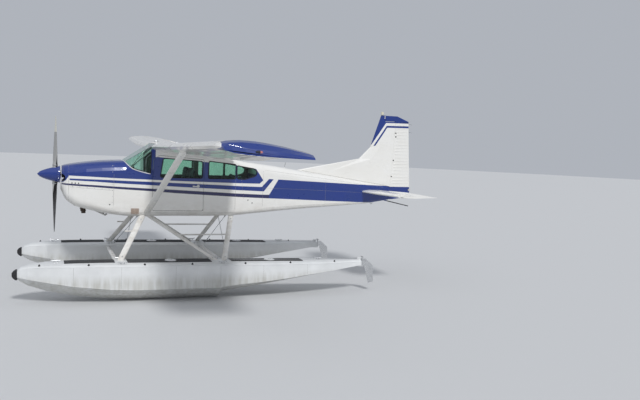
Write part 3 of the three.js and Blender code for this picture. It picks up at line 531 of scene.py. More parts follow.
def plate(name, material, points, thickness, bevel, body="airframe"):
    panel(points, thickness, bevel)
    return finished(name, material, body)


def slab(name, material, centre, size, bevel, turn=None, body="airframe"):
    block(centre, size, bevel, turn)
    return finished(name, material, body)


def lathe(name, material, profile, centre, axis, turns=24, body="airframe"):
    turned(profile, centre, axis, turns)
    return finished(name, material, body)


def joined(pieces):
    deselect()
    for piece in pieces:
        piece.select_set(True)
    bpy.context.view_layer.objects.active = pieces[0]
    if len(pieces) > 1:
        ops.object.join()
    return bpy.context.object


def copies(pattern, places):
    """Copies of one shape, each with its own mesh, at each of the places, as one piece."""
    made = []
    for place in places:
        mesh = pattern.data.copy()
        mesh.transform(place)
        piece = bpy.data.objects.new(pattern.name, mesh)
        bpy.context.scene.collection.objects.link(piece)
        made.append(piece)
    bpy.data.objects.remove(pattern)
    return joined(made)


def basis(origin, along, up, stretch=(1, 1, 1)):
    """The place of a shape with its X along one direction and its Z near the other."""
    x = along.normalized()
    y = up.cross(x).normalized()
    z = x.cross(y)
    columns = [axis * scale for axis, scale in zip((x, y, z), stretch)]
    return Matrix.Translation(origin) @ Matrix(columns).transposed().to_4x4()


def cast(names, origin, direction):
    """Where a ray first meets one of the named nodes: the place and the way it faces."""
    best = None
    for name in names:
        if name not in TREES:
            mesh = NODES[name].data
            faces = [face.vertices[:] for face in mesh.polygons]
            TREES[name] = BVHTree.FromPolygons([vertex.co for vertex in mesh.vertices], faces)
        place, normal, _, distance = TREES[name].ray_cast(origin, direction)
        if place is not None and (best is None or distance < best[2]):
            best = (place, normal, distance)
    return best[:2] if best else None


FUSELAGE = ("cowling", "cabin_shell", "door_left", "door_right", "tail_cone")


def on_side(x, z, side, names=FUSELAGE):
    return cast(names, at(x, side * 8, z), Vector((0, -side, 0)))


def over(name, x, y):
    """The place of a node's skin that is seen from straight above."""
    return cast((name,), at(x, y, 3), DOWN)


def under(name, x, y):
    return cast((name,), at(x, y, -3), -DOWN)


def circle(count, across, beside, shift=0.0):
    """Directions evenly round, from one axis towards the other."""
    turns = [2 * math.pi * (i + shift) / count for i in range(count)]
    return [across * math.cos(turn) + beside * math.sin(turn) for turn in turns]


def section(names, middle, ways, reach):
    """Places on the skin round a point, each seen from outside along its way."""
    return [cast(names, middle + way * reach, -way) for way in ways]


def steps(first, last, pitch):
    """Numbers from the first to the last, as near to the pitch as fits."""
    count = max(2, round(abs(last - first) / pitch) + 1)
    return [first + (last - first) * i / (count - 1) for i in range(count)]


def joint_line(name, places, radius=0.0014, material=None, body="airframe", closed=False):
    """A thin line of sealant or trim along places on the skin."""
    return bar(name, material or JOINT_GREY, [place[0] for place in places if place], radius, body, closed)


def rivet_rows(name, spots, material, radius, body="airframe"):
    """Domed rivets: one shape set on every spot by Geometry Nodes, then realized."""
    spots = [spot for spot in spots if spot]
    deselect()
    ops.mesh.primitive_uv_sphere_add(segments=6, ring_count=4, radius=1, location=(0, 0, 0))
    dome = bpy.context.object
    ops.object.mode_set(mode="EDIT")
    ops.mesh.bisect(plane_co=(0, 0, -0.1), plane_no=(0, 0, 1), clear_inner=True, use_fill=True)
    ops.object.mode_set(mode="OBJECT")
    dome.data.transform(Matrix.Diagonal((radius, radius, radius * 0.5, 1)))
    mesh = bpy.data.meshes.new(name)
    mesh.from_pydata([place for place, _ in spots], [], [])
    facing = mesh.attributes.new("facing", "FLOAT_VECTOR", "POINT")
    for item, (_, normal) in zip(facing.data, spots):
        item.vector = normal
    piece = bpy.data.objects.new(name, mesh)
    bpy.context.scene.collection.objects.link(piece)
    group = bpy.data.node_groups.new("rivets", "GeometryNodeTree")
    for way in ("INPUT", "OUTPUT"):
        group.interface.new_socket("Geometry", in_out=way, socket_type="NodeSocketGeometry")
    kinds = ("NodeGroupInput", "GeometryNodeObjectInfo", "GeometryNodeInputNamedAttribute",
             "FunctionNodeAlignRotationToVector", "GeometryNodeInstanceOnPoints",
             "GeometryNodeRealizeInstances", "NodeGroupOutput")
    source, shape, facing, aim, place, real, result = [group.nodes.new(kind) for kind in kinds]
    shape.inputs["Object"].default_value = dome
    facing.data_type = "FLOAT_VECTOR"
    facing.inputs["Name"].default_value = "facing"
    aim.axis = "Z"
    for start, end in (
        (source.outputs[0], place.inputs["Points"]),
        (shape.outputs["Geometry"], place.inputs["Instance"]),
        (facing.outputs["Attribute"], aim.inputs["Vector"]),
        (aim.outputs["Rotation"], place.inputs["Rotation"]),
        (place.outputs["Instances"], real.inputs["Geometry"]),
        (real.outputs["Geometry"], result.inputs[0]),
    ):
        group.links.new(start, end)
    deselect()
    piece.select_set(True)
    bpy.context.view_layer.objects.active = piece
    piece.modifiers.new("rivets", "NODES").node_group = group
    ops.object.modifier_apply(modifier="rivets")
    bpy.data.objects.remove(dome)
    return finished(name, material, body)


# Window seals

DOOR_WINDOW = ((1.896, 0.05), (2.69, 0.05), (2.69, 0.368), (1.946, 0.408))
MIDDLE_WINDOW = ((2.83, 0.05), (3.36, 0.05), (3.36, 0.328), (2.83, 0.372))
REAR_WINDOW = ((3.402, 0.06), (3.56, 0.05), (3.77, 0.11), (3.812, 0.16), (3.80, 0.215), (3.75, 0.248),
               (3.402, 0.306))


def rounded(corners, radius):
    """An outline in (x, z) with its corners rounded."""
    made = []
    for i, corner in enumerate(corners):
        here = Vector(corner)
        before = Vector(corners[i - 1]) - here
        after = Vector(corners[(i + 1) % len(corners)]) - here
        start = here + before.normalized() * min(radius, before.length * 0.45)
        end = here + after.normalized() * min(radius, after.length * 0.45)
        for t in (0, 0.25, 0.5, 0.75, 1):
            made.append(start * (1 - t) ** 2 + here * 2 * t * (1 - t) + end * t ** 2)
    return made


for side, s in SIDES:
    for place, corners, radius, node, body, middle in (
        ("door_window", DOOR_WINDOW, 0.04, f"door_{side}", f"door_{side}", (2.3, 0.22)),
        ("middle_window", MIDDLE_WINDOW, 0.03, "cabin_shell", "airframe", (3.03, 0.17)),
        ("rear_window", REAR_WINDOW, 0.03, "cabin_shell", "airframe", (3.602, 0.18)),
    ):
        edge = []
        for point in rounded(corners, radius):
            out = point + (point - Vector(middle)).normalized() * 0.012
            hit = on_side(out.x, out.y, s, (node,))
            edge.append(hit[0] if hit else at(out.x, s * 0.555, out.y))
        bar(f"{place}_seal_{side}", RUBBER, edge, 0.009, body, True)

# Wings: pressed beads, rivet rows and fittings

# Place along the span, leading edge x, chord, and incidence in degrees
WING = ((0.56, 1.700, 1.630, 7.1), (2.54, 1.720, 1.620, 6.3), (5.20, 1.870, 1.355, 2.8),
        (5.45, 1.886, 1.330, 2.8))
TIP_Y = 5.424
TIP_CREASE = ((2.029, 0.757), (2.145, 0.737), (2.282, 0.710), (2.452, 0.675), (2.716, 0.640),
              (3.002, 0.617))


def on_wing(side, y, share, above=True, parts=("wing", "wing_tip", "flap", "aileron")):
    """A place of the wing's skin, at a share of the chord, with the way that it faces."""
    near, far = next(pair for pair in zip(WING, WING[1:]) if y <= pair[1][0])
    t = (y - near[0]) / (far[0] - near[0])
    _, x, chord, turn = [a + (b - a) * t for a, b in zip(near, far)]
    x += share * chord * math.cos(math.radians(turn))
    start = at(x, dict(SIDES)[side] * y, 1.6 if above else -0.4)
    return cast([f"{part}_{side}" for part in parts], start, DOWN if above else -DOWN)


def bead():
    """A pressed bead of unit length, width and height, along X from the origin."""
    deselect()
    ops.mesh.primitive_cylinder_add(vertices=8, radius=1, depth=0.92, location=(0.5, 0, 0),
                                    rotation=(0, math.pi / 2, 0))
    shape = bpy.context.object
    ops.object.transform_apply(location=True, rotation=True, scale=True)
    for end, width, step in ((0.96, 0.6, 0.04), (0.04, 1.0, -0.04)):
        ops.object.mode_set(mode="EDIT")
        ops.mesh.select_all(action="DESELECT")
        ops.object.mode_set(mode="OBJECT")
        for face in shape.data.polygons:
            face.select = abs(face.center.x - end) < 0.01
        ops.object.mode_set(mode="EDIT")
        ops.transform.resize(value=(1, width, width))
        ops.mesh.extrude_region_move(TRANSFORM_OT_translate={"value": (step, 0, 0)})
        ops.transform.resize(value=(1, 0.3, 0.2))
        ops.object.mode_set(mode="OBJECT")
    return shape


def beads(name, ends, width, height, material, body):
    """Beads that run between pairs of places on the skin."""
    places = []
    for start, end in ends:
        if start and end:
            run = end[0] - start[0]
            places.append(basis(start[0], run, start[1], (run.length, width / 2, height)))
    copies(bead(), places)
    return finished(name, material, body)


for side, s in SIDES:
    for part, first, last in (("flap", 0.62, 2.50), ("aileron", 2.60, 5.0)):
        ends = [[on_wing(side, y, share, above, (part,)) for share in (0.775, 0.982)]
                for y in steps(first, last, 0.085) for above in (True, False)]
        beads(f"{part}_beads_{side}", ends, 0.03, 0.0055, WHITE_PAINT, f"{part}_{side}")
    grid = [(y, share) for y in steps(0.72, 5.12, 0.34) for share in steps(0.05, 0.67, 0.024)]
    grid += [(y, share) for share in (0.06, 0.27, 0.665) for y in steps(0.6, 5.15, 0.035)]
    spots = [on_wing(side, y, share, above, ("wing",)) for y, share in grid for above in (True, False)]
    rivet_rows(f"wing_rivets_{side}", spots, WHITE_PAINT, 0.0032)
    for share in (0.27, 0.665):
        for label, above in (("top", True), ("low", False)):
            line = [on_wing(side, y, share + 0.009, above, ("wing",)) for y in (0.6, 2.54, 5.17)]
            joint_line(f"wing_lap_{side}_{int(share * 100)}_{label}", line, 0.0012)
    joint = [on_wing(side, 5.199, share) for share in (0.995, 0.9, 0.7, 0.5, 0.35, 0.2, 0.1, 0.04, 0.01)]
    joint += [on_wing(side, 5.199, share, False) for share in (0.01, 0.04, 0.1, 0.25, 0.5, 0.7, 0.9, 0.995)]
    joint_line(f"tip_joint_{side}", joint, 0.003)

    # Fuel cap, position lamp, crease of the tip and arms of the flap and aileron hinges
    place, normal = on_wing(side, 1.35, 0.22)
    cap = ((-0.006, 0.0), (-0.006, 0.06), (0.004, 0.06), (0.006, 0.05), (0.004, 0.044), (0.012, 0.04),
           (0.014, 0.03), (0.014, 0.0))
    lathe(f"fuel_cap_{side}", BRIGHT, cap, place, normal)
    slab(f"fuel_cap_tab_{side}", BRIGHT, place + normal * 0.018, (0.06, 0.012, 0.012), 0.003)
    tip = (f"wing_tip_{side}",)
    lamp = on_side(2.44, 0.672, s, tip)[0]
    lamp = Vector((lamp.x - 0.01, s * TIP_Y, lamp.z))
    base = ((-0.05, 0.0), (-0.05, 0.018), (-0.02, 0.024), (0.012, 0.024), (0.016, 0.0))
    lathe(f"position_lamp_base_{side}", NAVY_LINE, base, lamp, X, 16)
    lens = ((0.012, 0.0), (0.012, 0.022), (0.035, 0.019), (0.048, 0.011), (0.052, 0.0))
    lathe(f"position_lamp_{side}", RED_LENS if s < 0 else GREEN_LENS, lens, lamp, X, 16)
    joint_line(f"tip_edge_{side}", [on_side(x, z, s, tip) for x, z in TIP_CREASE], 0.005, BLUE_PAINT)
    for y in (0.9, 2.25, 2.9, 4.65):
        place = on_wing(side, y, 0.66, False)[0]
        outline = ((-0.08, 0.016), (-0.06, -0.008), (0.02, -0.030), (0.052, -0.030), (0.056, 0.012))
        points = [place + Vector((x, -0.004, z)) for x, z in outline]
        plate(f"hinge_arm_{side}_{int(y * 100)}", WHITE_PAINT, points, Vector((0, 0.008, 0)), 0.002)

# Fuselage: rivet rows, joints, plates, cowl flaps and trim

# Stations with the height of the fuselage's top and bottom
FRAME_TOPS = ((1.04, 0.325), (1.505, 0.502), (1.8, 0.684), (2.1, 0.701), (2.9, 0.566), (3.32, 0.442),
              (3.64, 0.383), (3.95, 0.352), (4.82, 0.235), (5.4, 0.153), (6.39, 0.013), (7.01, -0.075))
FRAME_LOWS = ((0.2, -0.445), (0.54, -0.592), (0.82, -0.655), (1.04, -0.685), (1.505, -0.713), (2.9, -0.704),
              (3.32, -0.69), (3.545, -0.676), (3.64, -0.662), (3.95, -0.638), (4.82, -0.565), (5.4, -0.526),
              (6.39, -0.459), (7.01, -0.369))
FRAMES = (1.065, 1.53, 2.80, 3.375, 3.61, 3.925, 3.975, 4.24, 4.53, 4.82, 5.11, 5.40, 5.75, 6.1, 6.39, 6.72)
SKIN_PITCH = 0.036


def between(points, x):
    for (near, a), (far, b) in zip(points, points[1:]):
        if x <= far:
            return a + (b - a) * (x - near) / (far - near)
    return points[-1][1]


def level_at(x, share):
    """A height of the fuselage's side, as a share of the way from its bottom to its top."""
    low, top = between(FRAME_LOWS, x), between(FRAME_TOPS, x)
    return low + (top - low) * share


def skin_spot(x, z, side, names=FUSELAGE):
    """A place on the near skin of the fuselage, or nothing where there is a window."""
    hit = on_side(x, z, side, names)
    return hit if hit and hit[0].y * side > 0.02 and abs(hit[1].y) > 0.3 else None


def ring_at(name, x, node, radius):
    """A thin band of sealant round the fuselage at a station."""
    level = -0.1 if x < 1.04 else level_at(x, 0.5)
    joint_line(name, section((node,), at(x, 0, level), circle(40, Y, Z), 2), radius, closed=True)


spots = []
for side, s in SIDES:
    for x in FRAMES:
        low, top = between(FRAME_LOWS, x) + 0.07, between(FRAME_TOPS, x) - 0.06
        spots += [skin_spot(x, z, s) for z in steps(low, top, SKIN_PITCH)]
    for share in (0.08, 0.5, 0.9):
        spots += [skin_spot(x, level_at(x, share), s) for x in steps(3.98, 6.9, SKIN_PITCH)]
    spots += [skin_spot(x, -0.645, s) for x in steps(1.08, 3.55, SKIN_PITCH)]
    spots += [skin_spot(x, -0.02, s, ("cabin_shell",)) for x in steps(2.84, 3.9, SKIN_PITCH)]
rivet_rows("fuselage_rivets", spots, PAINT, 0.0034)
ring_at("cowl_rear_edge", 1.032, "cowling", 0.0018)
ring_at("nose_bowl_joint", 0.235, "cowling", 0.0022)
ring_at("tail_cone_joint", 3.957, "tail_cone", 0.0016)
ring_at("aft_skin_joint", 5.405, "tail_cone", 0.0014)

for side, s in SIDES:
    split = [on_side(x, -0.16 - 0.06 * x, s) for x in steps(0.25, 1.02, 0.08)]
    joint_line(f"cowl_split_{side}", split, 0.0018)
    joint_line(f"belly_joint_{side}", [on_side(x, -0.632, s) for x in steps(1.06, 3.5, 0.2)], 0.0016)
    for k, share in enumerate((0.095, 0.515, 0.885)):
        line = [on_side(x, level_at(x, share), s) for x in steps(3.98, 6.85, 0.22)]
        joint_line(f"tail_stringer_{side}_{k}", line)
    joint_line(f"side_seam_{side}", [skin_spot(3.372, z, s) for z in steps(-0.62, 0.02, 0.06)], 0.002)

    # Fasteners round the cowl
    spots = [on_side(1.01, z, s) for z in steps(-0.56, 0.24, 0.115)]
    spots += [on_side(x, -0.145 - 0.06 * x, s) for x in steps(0.3, 0.95, 0.13)]
    rivet_rows(f"cowl_fasteners_{side}", spots, BRIGHT, 0.008)

    # Blanking plate where a wheel leg would leave, with its screws
    out = Vector((0, s, 0))
    corners = ((1.35, -0.555), (1.50, -0.555), (1.50, -0.665), (1.35, -0.665))
    corners = [on_side(x, z, s)[0] for x, z in corners]
    plate(f"leg_blanking_plate_{side}", STAINED, corners, out * 0.012, 0.003)
    screws = [on_side(x, z, s)[0] + out * 0.012 for x in (1.365, 1.425, 1.485) for z in (-0.57, -0.65)]
    rivet_rows(f"leg_plate_screws_{side}", [(place, out) for place in screws], BRIGHT, 0.006)

    # Cowl flap, held a little open
    y0, y1 = sorted((s * 0.08, s * 0.32))
    leaves = []
    for (x0, z0), (x1, z1), rise in (
        ((0.665, -0.612), (0.905, -0.728), (0.006, 0, 0.012)),
        ((0.901, -0.726), (0.942, -0.699), (0, 0, 0.006)),
    ):
        corners = ((x0, y0, z0), (x1, y0, z1), (x1, y1, z1), (x0, y1, z0))
        leaves.append(panel([at(*corner) for corner in corners], Vector(rise), 0.002))
    joined(leaves)
    finished(f"cowl_flap_{side}", WHITE_PAINT)
    middle = (y0 + y1) / 2
    bar(f"cowl_flap_rod_{side}", STEEL, [at(0.88, middle, -0.70), at(0.92, middle, -0.60)], 0.006)

    # Cowl latches, screws and ports behind the rear window, and the exhaust's clamp
    latches = ((0.293, -0.104), (0.349, -0.104), (0.408, -0.104), (0.964, -0.489))
    spots = [on_side(x, z, s) for x, z in latches]
    rivet_rows(f"cowl_latches_{side}", spots, WRINKLE, 0.013)
    spots = [skin_spot(3.467 + 0.155 * (0.2 - z), z, s) for z in steps(0.02, -0.333, 0.044)]
    rivet_rows(f"rear_panel_screws_{side}", spots, STAINED, 0.0055)
    spots = [on_side(3.641, -0.376, s), on_side(3.732, -0.434, s)]
    rivet_rows(f"static_ports_{side}", spots, WRINKLE, 0.013)
    clamp = ((0, 0.041), (0, 0.048), (0.018, 0.048), (0.018, 0.041), (0, 0.041))
    lathe(f"exhaust_clamp_{side}", BURNT, clamp, at(0.511, s * 0.2, -0.625), (0.02, 0, -1))

    # Rim of the cooling inlet
    rim = []
    for way in circle(24, Y * 0.093, Z * 0.077):
        hit = cast(("cowling",), at(-0.4, s * 0.275, -0.015) + way, X)
        if hit and hit[0].x < at(0.32, 0, 0).x:
            rim.append(hit)
    joint_line(f"inlet_rim_{side}", rim, 0.006, BLUE_PAINT, closed=True)

    # Door handle and its plate
    door = f"door_{side}"
    place = on_side(2.62, -0.11, s, (door,))[0]
    boss = ((0, 0), (0, 0.03), (0.004, 0.03), (0.008, 0.022), (0.02, 0.014), (0.02, 0))
    lathe(f"door_handle_boss_{side}", BRIGHT, boss, place, out, 20, door)
    middle = place + Vector((-0.05, s * 0.024, -0.008))
    slab(f"door_handle_{side}", BRIGHT, middle, (0.13, 0.01, 0.022), 0.004, (0, math.radians(8), 0), door)

# Chin inlet with its screen
rods = [[at(0.14, y, -0.322), at(0.135, y * 0.84, -0.222)] for y in steps(-0.1, 0.1, 0.02)]
joined([wire(rod, 0.0022, sides=0) for rod in rods])
finished("chin_screen", STEEL)

# Windshield trim
BASE_CURVE = ((1.698, 0.107), (1.64, 0.117), (1.58, 0.130), (1.52, 0.146), (1.47, 0.160), (1.42, 0.176),
              (1.37, 0.196), (1.33, 0.222), (1.29, 0.258), (1.26, 0.290), (1.24, 0.312))


def across_roof(x, half, pitch):
    return [cast(("cabin_shell", "windshield"), at(x, y, 2), DOWN) for y in steps(-half, half, pitch)]


near = [on_side(x, z, -1) for x, z in BASE_CURVE]
far = [on_side(x, z, 1) for x, z in reversed(BASE_CURVE)]
joint_line("windshield_base_trim", near + across_roof(1.222, 0.36, 0.12) + far, 0.007, WHITE_PAINT)
for side, s in SIDES:
    pillar = [on_side(1.706, z, s) for z in (0.12, 0.25, 0.4, 0.54)]
    joint_line(f"windshield_pillar_seal_{side}", pillar, 0.008, RUBBER)
joint_line("windshield_roof_trim", across_roof(1.80, 0.5, 0.1), 0.006, WHITE_PAINT)
for side, s in SIDES:
    bar(f"cabin_brace_{side}", WHITE_PAINT, [at(1.36, s * 0.06, 0.17), at(1.765, s * 0.40, 0.60)], 0.014)

# Whip aerial on the tail cone
base = cast(("tail_cone", "cabin_shell"), at(4.57, 0.05, 2), DOWN)[0]
foot = ((-0.004, 0.0), (-0.004, 0.016), (0.004, 0.016), (0.014, 0.006), (0.014, 0.0))
lathe("whip_aerial_base", WHITE_PAINT, foot, base, Z, 16)
bar("whip_aerial", RUBBER, [base, base + Vector((0.012, 0, 0.06)), base + Vector((0.03, 0, 0.12))], 0.0025)

# Tail: beads, rivets, lamps, static wicks, tie-down ring and hinge plugs

TAIL_PITCH = 0.034
# Heights of the fin's ribs, with the station of the fin's front edge there
FIN_RIBS = ((0.12, 5.3), (0.45, 6.0), (0.79, 6.56), (1.12, 6.66), (1.42, 6.77))

for side, s in SIDES:
    rudder, fin = ("rudder",), ("fin",)
    ends = [(on_side(7.075 + 0.07 * z, z, s, rudder), on_side(7.535 - 0.068 * (z + 0.2), z, s, rudder))
            for z in steps(-0.14, 1.30, 0.072)]
    beads(f"rudder_beads_{side}", ends, 0.026, 0.005, TAIL_PAINT, "rudder")
    for label, seen in (("top", over), ("low", under)):
        ends = [(seen("elevator", 6.87, s * y), seen("elevator", 7.33 - 0.02 * y, s * y))
                for y in steps(0.24, 1.47, 0.082)]
        beads(f"elevator_beads_{side}_{label}", ends, 0.028, 0.0045, WHITE_PAINT, "elevator")
    grid = [(x, y) for y in steps(0.16, 1.46, 0.26) for x in steps(6.32 + 0.135 * y, 6.75, TAIL_PITCH)]
    grid += [(6.755, y) for y in steps(0.14, 1.48, TAIL_PITCH)]
    spots = [seen("stabilizer", x, s * y) for x, y in grid for seen in (over, under)]
    rivet_rows(f"stabilizer_rivets_{side}", spots, WHITE_PAINT, 0.003)
    grid = [(x, z) for z, front in FIN_RIBS for x in steps(front, 6.98 + 0.0718 * z, TAIL_PITCH)]
    spots = [on_side(x, z, s, fin) for x, z in grid]
    spots += [on_side(6.955 + 0.0718 * z, z, s, fin) for z in steps(0.05, 1.34, TAIL_PITCH)]
    rivet_rows(f"fin_rivets_{side}", spots, TAIL_PAINT, 0.003)
    foot = [on_side(x, between(FRAME_TOPS, x) + 0.012, s, fin) for x in steps(4.95, 6.95, 0.12)]
    joint_line(f"fin_foot_joint_{side}", foot, 0.0022)
    plug = ((-0.002, 0), (-0.002, 0.018), (0.002, 0.016), (0.003, 0))
    for z in (1.038, 0.512):
        place = on_side(7.062 + 0.0718 * z, z, s, rudder)[0]
        lathe(f"hinge_plug_{side}_{int(z * 100)}", WRINKLE, plug, place, (0, s, 0), 16, "rudder")
    if side == "right":
        tab = [over("elevator", x, y) for x, y in ((7.335, 0.30), (7.20, 0.30), (7.20, 0.98), (7.325, 0.98))]
        joint_line("trim_tab_joint", tab, 0.002, WRINKLE, "elevator")

low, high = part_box("beacon_lamp")
base = ((-0.012, 0.0), (-0.012, 0.034), (0.0, 0.034), (0.006, 0.028), (0.006, 0.0))
lathe("beacon_base", BRIGHT, base, Vector(((low.x + high.x) / 2, 0, low.z + 0.010)), Z, 20)
for side, s in SIDES:
    edge = [on_side(6.848, z, s, ("fin",)) for z in (1.425, 1.46, 1.49)]
    joint_line(f"fin_cap_edge_{side}", edge, 0.007, WHITE_PAINT)
lamp = ((0, 0), (0, 0.022), (0.012, 0.022), (0.026, 0.016), (0.034, 0.0))
lathe("tail_lamp", LENS, lamp, at(7.520, 0, -0.15), (1, 0, -0.05), 16, "rudder")
for k, z in enumerate((1.34, 1.16)):
    start = cast(("rudder",), at(7.8, 0, z), Vector((-1, 0, 0)))[0]
    points = [start, start + Vector((0.045, 0, -0.010)), start + Vector((0.085, 0, -0.017))]
    bar(f"static_wick_{k}", RUBBER, points, 0.002, "rudder")
ops.mesh.primitive_torus_add(major_radius=0.024, minor_radius=0.005, major_segments=20, minor_segments=8,
                             location=at(6.62, 0, -0.449), rotation=(math.pi / 2, 0, 0))
finished("tie_down_ring", STEEL)

# Floats: deck grip, cleats, drain plugs, hatches, rails, rows of rivets and the steering of the rudders

FLOAT_Y = 1.28
# Stations with the height of the chine and of the deck's edge, and the deck's half width
CHINE = ((-0.56, -1.680), (-0.43, -1.700), (-0.13, -1.745), (0.3, -1.815), (0.9, -1.880), (1.4, -1.905),
         (2.9, -1.905), (4.2, -1.775), (5.16, -1.668), (5.82, -1.590))
DECK_EDGE = ((-0.56, -1.545), (-0.43, -1.503), (-0.13, -1.480), (0.3, -1.476), (0.9, -1.478),
             (1.4, -1.480), (2.9, -1.494), (4.2, -1.508), (5.16, -1.522), (5.82, -1.520))
DECK_HALF = ((-0.56, 0.108), (-0.43, 0.178), (-0.13, 0.268), (0.3, 0.325), (0.9, 0.350), (1.4, 0.355),
             (2.9, 0.355), (4.2, 0.308), (5.16, 0.220), (5.82, 0.100))
GRIPS = (("front", 0.15, 1.0, 0.17), ("middle", 1.22, 2.74, 0.19), ("rear", 3.12, 4.55, 0.15))
CLEATS = ((0.02, 0), (1.12, 1), (1.12, -1), (2.92, 1), (2.92, -1), (4.9, 0))
PLUGS = (-0.25, 0.55, 1.5, 2.35, 3.35, 4.25, 5.2)
SEAMS = (0.3, 1.1, 2.05, 2.87, 3.7, 4.6)
# Ribs of the bow bumper: stations with the half width, and the rise from one rib to the next
BUMPER = ((-0.608, 0.0575, 0.052), (-0.628, 0.0575, 0.052), (-0.664, 0.048, 0.037), (-0.6855, 0.026, 0.017))


def on_deck(node, x, y):
    return cast((node,), at(x, y, -1.2), DOWN)


def deck_strip(name, node, y, start, end, half):
    """A strip of grip tape laid on the crown of the deck."""
    deselect()
    ops.mesh.primitive_grid_add(x_subdivisions=24, y_subdivisions=8, size=1,
                                location=at((start + end) / 2, y, -1.25))
    strip = bpy.context.object
    strip.scale = (end - start, half * 2, 1)
    ops.object.transform_apply(location=True, rotation=True, scale=True)
    wrap = strip.modifiers.new("lay", "SHRINKWRAP")
    wrap.target = NODES[node]
    wrap.wrap_method = "PROJECT"
    wrap.use_project_z = True
    wrap.use_negative_direction = True
    wrap.use_positive_direction = False
    wrap.offset = 0.0015
    ops.object.modifier_apply(modifier="lay")
    thick = strip.modifiers.new("thick", "SOLIDIFY")
    thick.thickness = 0.0025
    thick.offset = 1
    ops.object.modifier_apply(modifier="thick")
    finished(name, GRIP)


def cleat():
    """A deck cleat at the origin, along X: two feet and a horn."""
    feet = [block((x, 0, 0.012), (0.022, 0.02, 0.03), 0.004) for x in (-0.028, 0.028)]
    horn = [Vector((x, 0, z)) for x, z in ((-0.085, 0.036), (-0.05, 0.030), (0.05, 0.030), (0.085, 0.036))]
    return joined([*feet, wire(horn, 0.008)])


for side, s in SIDES:
    node, y = f"float_{side}", s * FLOAT_Y
    for label, start, end, half in GRIPS:
        deck_strip(f"{label}_deck_grip_{side}", node, y, start, end, half)
    hits = [on_deck(node, x, y + outer * (between(DECK_HALF, x) - 0.075)) for x, outer in CLEATS]
    copies(cleat(), [basis(place, X, normal) for place, normal in hits])
    finished(f"deck_cleats_{side}", BRIGHT)
    hits = [on_deck(node, x, y + s * (between(DECK_HALF, x) - 0.045)) for x in PLUGS]
    plug = ((-0.004, 0.0), (-0.004, 0.020), (0.004, 0.020), (0.006, 0.013), (0.016, 0.015), (0.026, 0.010),
            (0.029, 0.0))
    copies(turned(plug, (0, 0, 0), Z, 14), [basis(place, X, normal) for place, normal in hits])
    finished(f"drain_plugs_{side}", RUBBER)
    lid = ((-0.01, 0.0), (-0.01, 0.105), (0.004, 0.105), (0.008, 0.095), (0.008, 0.085), (0.013, 0.078),
           (0.014, 0.0))
    for k, x in enumerate((2.0, 3.9)):
        place, normal = on_deck(node, x, y)
        lathe(f"hatch_lid_{side}_{k}", FLOAT_PAINT, lid, place, normal, 32)
        slab(f"hatch_latch_{side}_{k}", BRIGHT, place + Z * 0.018, (0.07, 0.014, 0.012), 0.003)
    for outer in (-1, 1):
        label = "outer" if outer == s else "inner"
        rail = [on_side(x, between(CHINE, x) + 0.006, outer, (node,)) for x in steps(-0.5, 5.6, 0.2)]
        joint_line(f"chine_rail_{label}_{side}", rail, 0.006, FLOAT_PAINT)
        edge = [on_side(x, between(DECK_EDGE, x) - 0.006, outer, (node,)) for x in steps(-0.5, 5.7, 0.2)]
        joint_line(f"deck_edge_rail_{label}_{side}", edge, 0.005, FLOAT_PAINT)
        grid = []
        for x in steps(-0.45, 5.65, SKIN_PITCH):
            grid += [(x, between(CHINE, x) + 0.028), (x, between(DECK_EDGE, x) - 0.026)]
        for x in steps(-0.2, 5.5, 0.41):
            low, top = between(CHINE, x) + 0.05, between(DECK_EDGE, x) - 0.05
            if top - low > 0.05:
                grid += [(x, z) for z in steps(low, top, SKIN_PITCH)]
        spots = [on_side(x, z, outer, (node,)) for x, z in grid]
        rivet_rows(f"float_rivets_{label}_{side}", spots, FLOAT_PAINT, 0.0036)
    for k, x in enumerate(SEAMS):
        levels = steps(between(CHINE, x) + 0.02, between(DECK_EDGE, x) - 0.01, 0.08)
        joint_line(f"float_seam_{side}_{k}", [on_side(x, z, s, (node,)) for z in levels])
    arm = [at(5.872, y - 0.055, -1.44), at(5.872, y + 0.055, -1.44)]
    bar(f"steering_arm_{side}", STEEL, arm, 0.008, f"water_rudder_{side}")
    for k, across in enumerate((-0.05, 0.05)):
        hits = [on_deck(node, x, y + across * (1 if x > 4.9 else 1.6)) for x in steps(3.0, 5.78, 0.4)]
        bar(f"steering_cable_{side}_{k}", STEEL, [place + Z * 0.014 for place, _ in hits], 0.003)
    for k in (-1, 0, 1):
        near = [at(x, y - half, -1.642 + k * rise) for x, half, rise in BUMPER]
        far = [at(x, y + half, -1.642 + k * rise) for x, half, rise in reversed(BUMPER)]
        bar(f"bumper_rib_{side}_{k}", RUBBER, near + far, 0.004)

# Struts and wires: cuffs, bolts, turnbuckles, fork ends and collars

# How far from its ends a strut has its cuffs
CUFFS = {"front_float_strut": 0.07, "rear_float_strut": 0.07, "diagonal_strut": 0.065, "wing_strut": 0.095}
TURNBUCKLE = ((0, 0.0), (0, 0.006), (0.02, 0.011), (0.05, 0.008), (0.11, 0.008), (0.14, 0.011),
              (0.16, 0.006), (0.16, 0.0))
FORK = ((0, 0.0), (0, 0.012), (0.035, 0.012), (0.05, 0.007), (0.09, 0.006), (0.09, 0.0))


def ends_of(name):
    """The two ends of a long node's axis, from the middles of its far vertices."""
    points = [vertex.co for vertex in NODES[name].data.vertices]
    low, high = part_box(name)
    run = max(points, key=lambda point: point.z) - min(points, key=lambda point: point.z)
    if run.length < 0.8 * max(high - low):
        run = max(points, key=lambda point: point.y) - min(points, key=lambda point: point.y)
    axis = run.normalized()
    along = [point.dot(axis) for point in points]
    ends = []
    for level in (min(along), max(along)):
        near = [point for point, share in zip(points, along) if abs(share - level) < 0.09]
        ends.append(sum(near, Vector()) / len(near))
    return ends


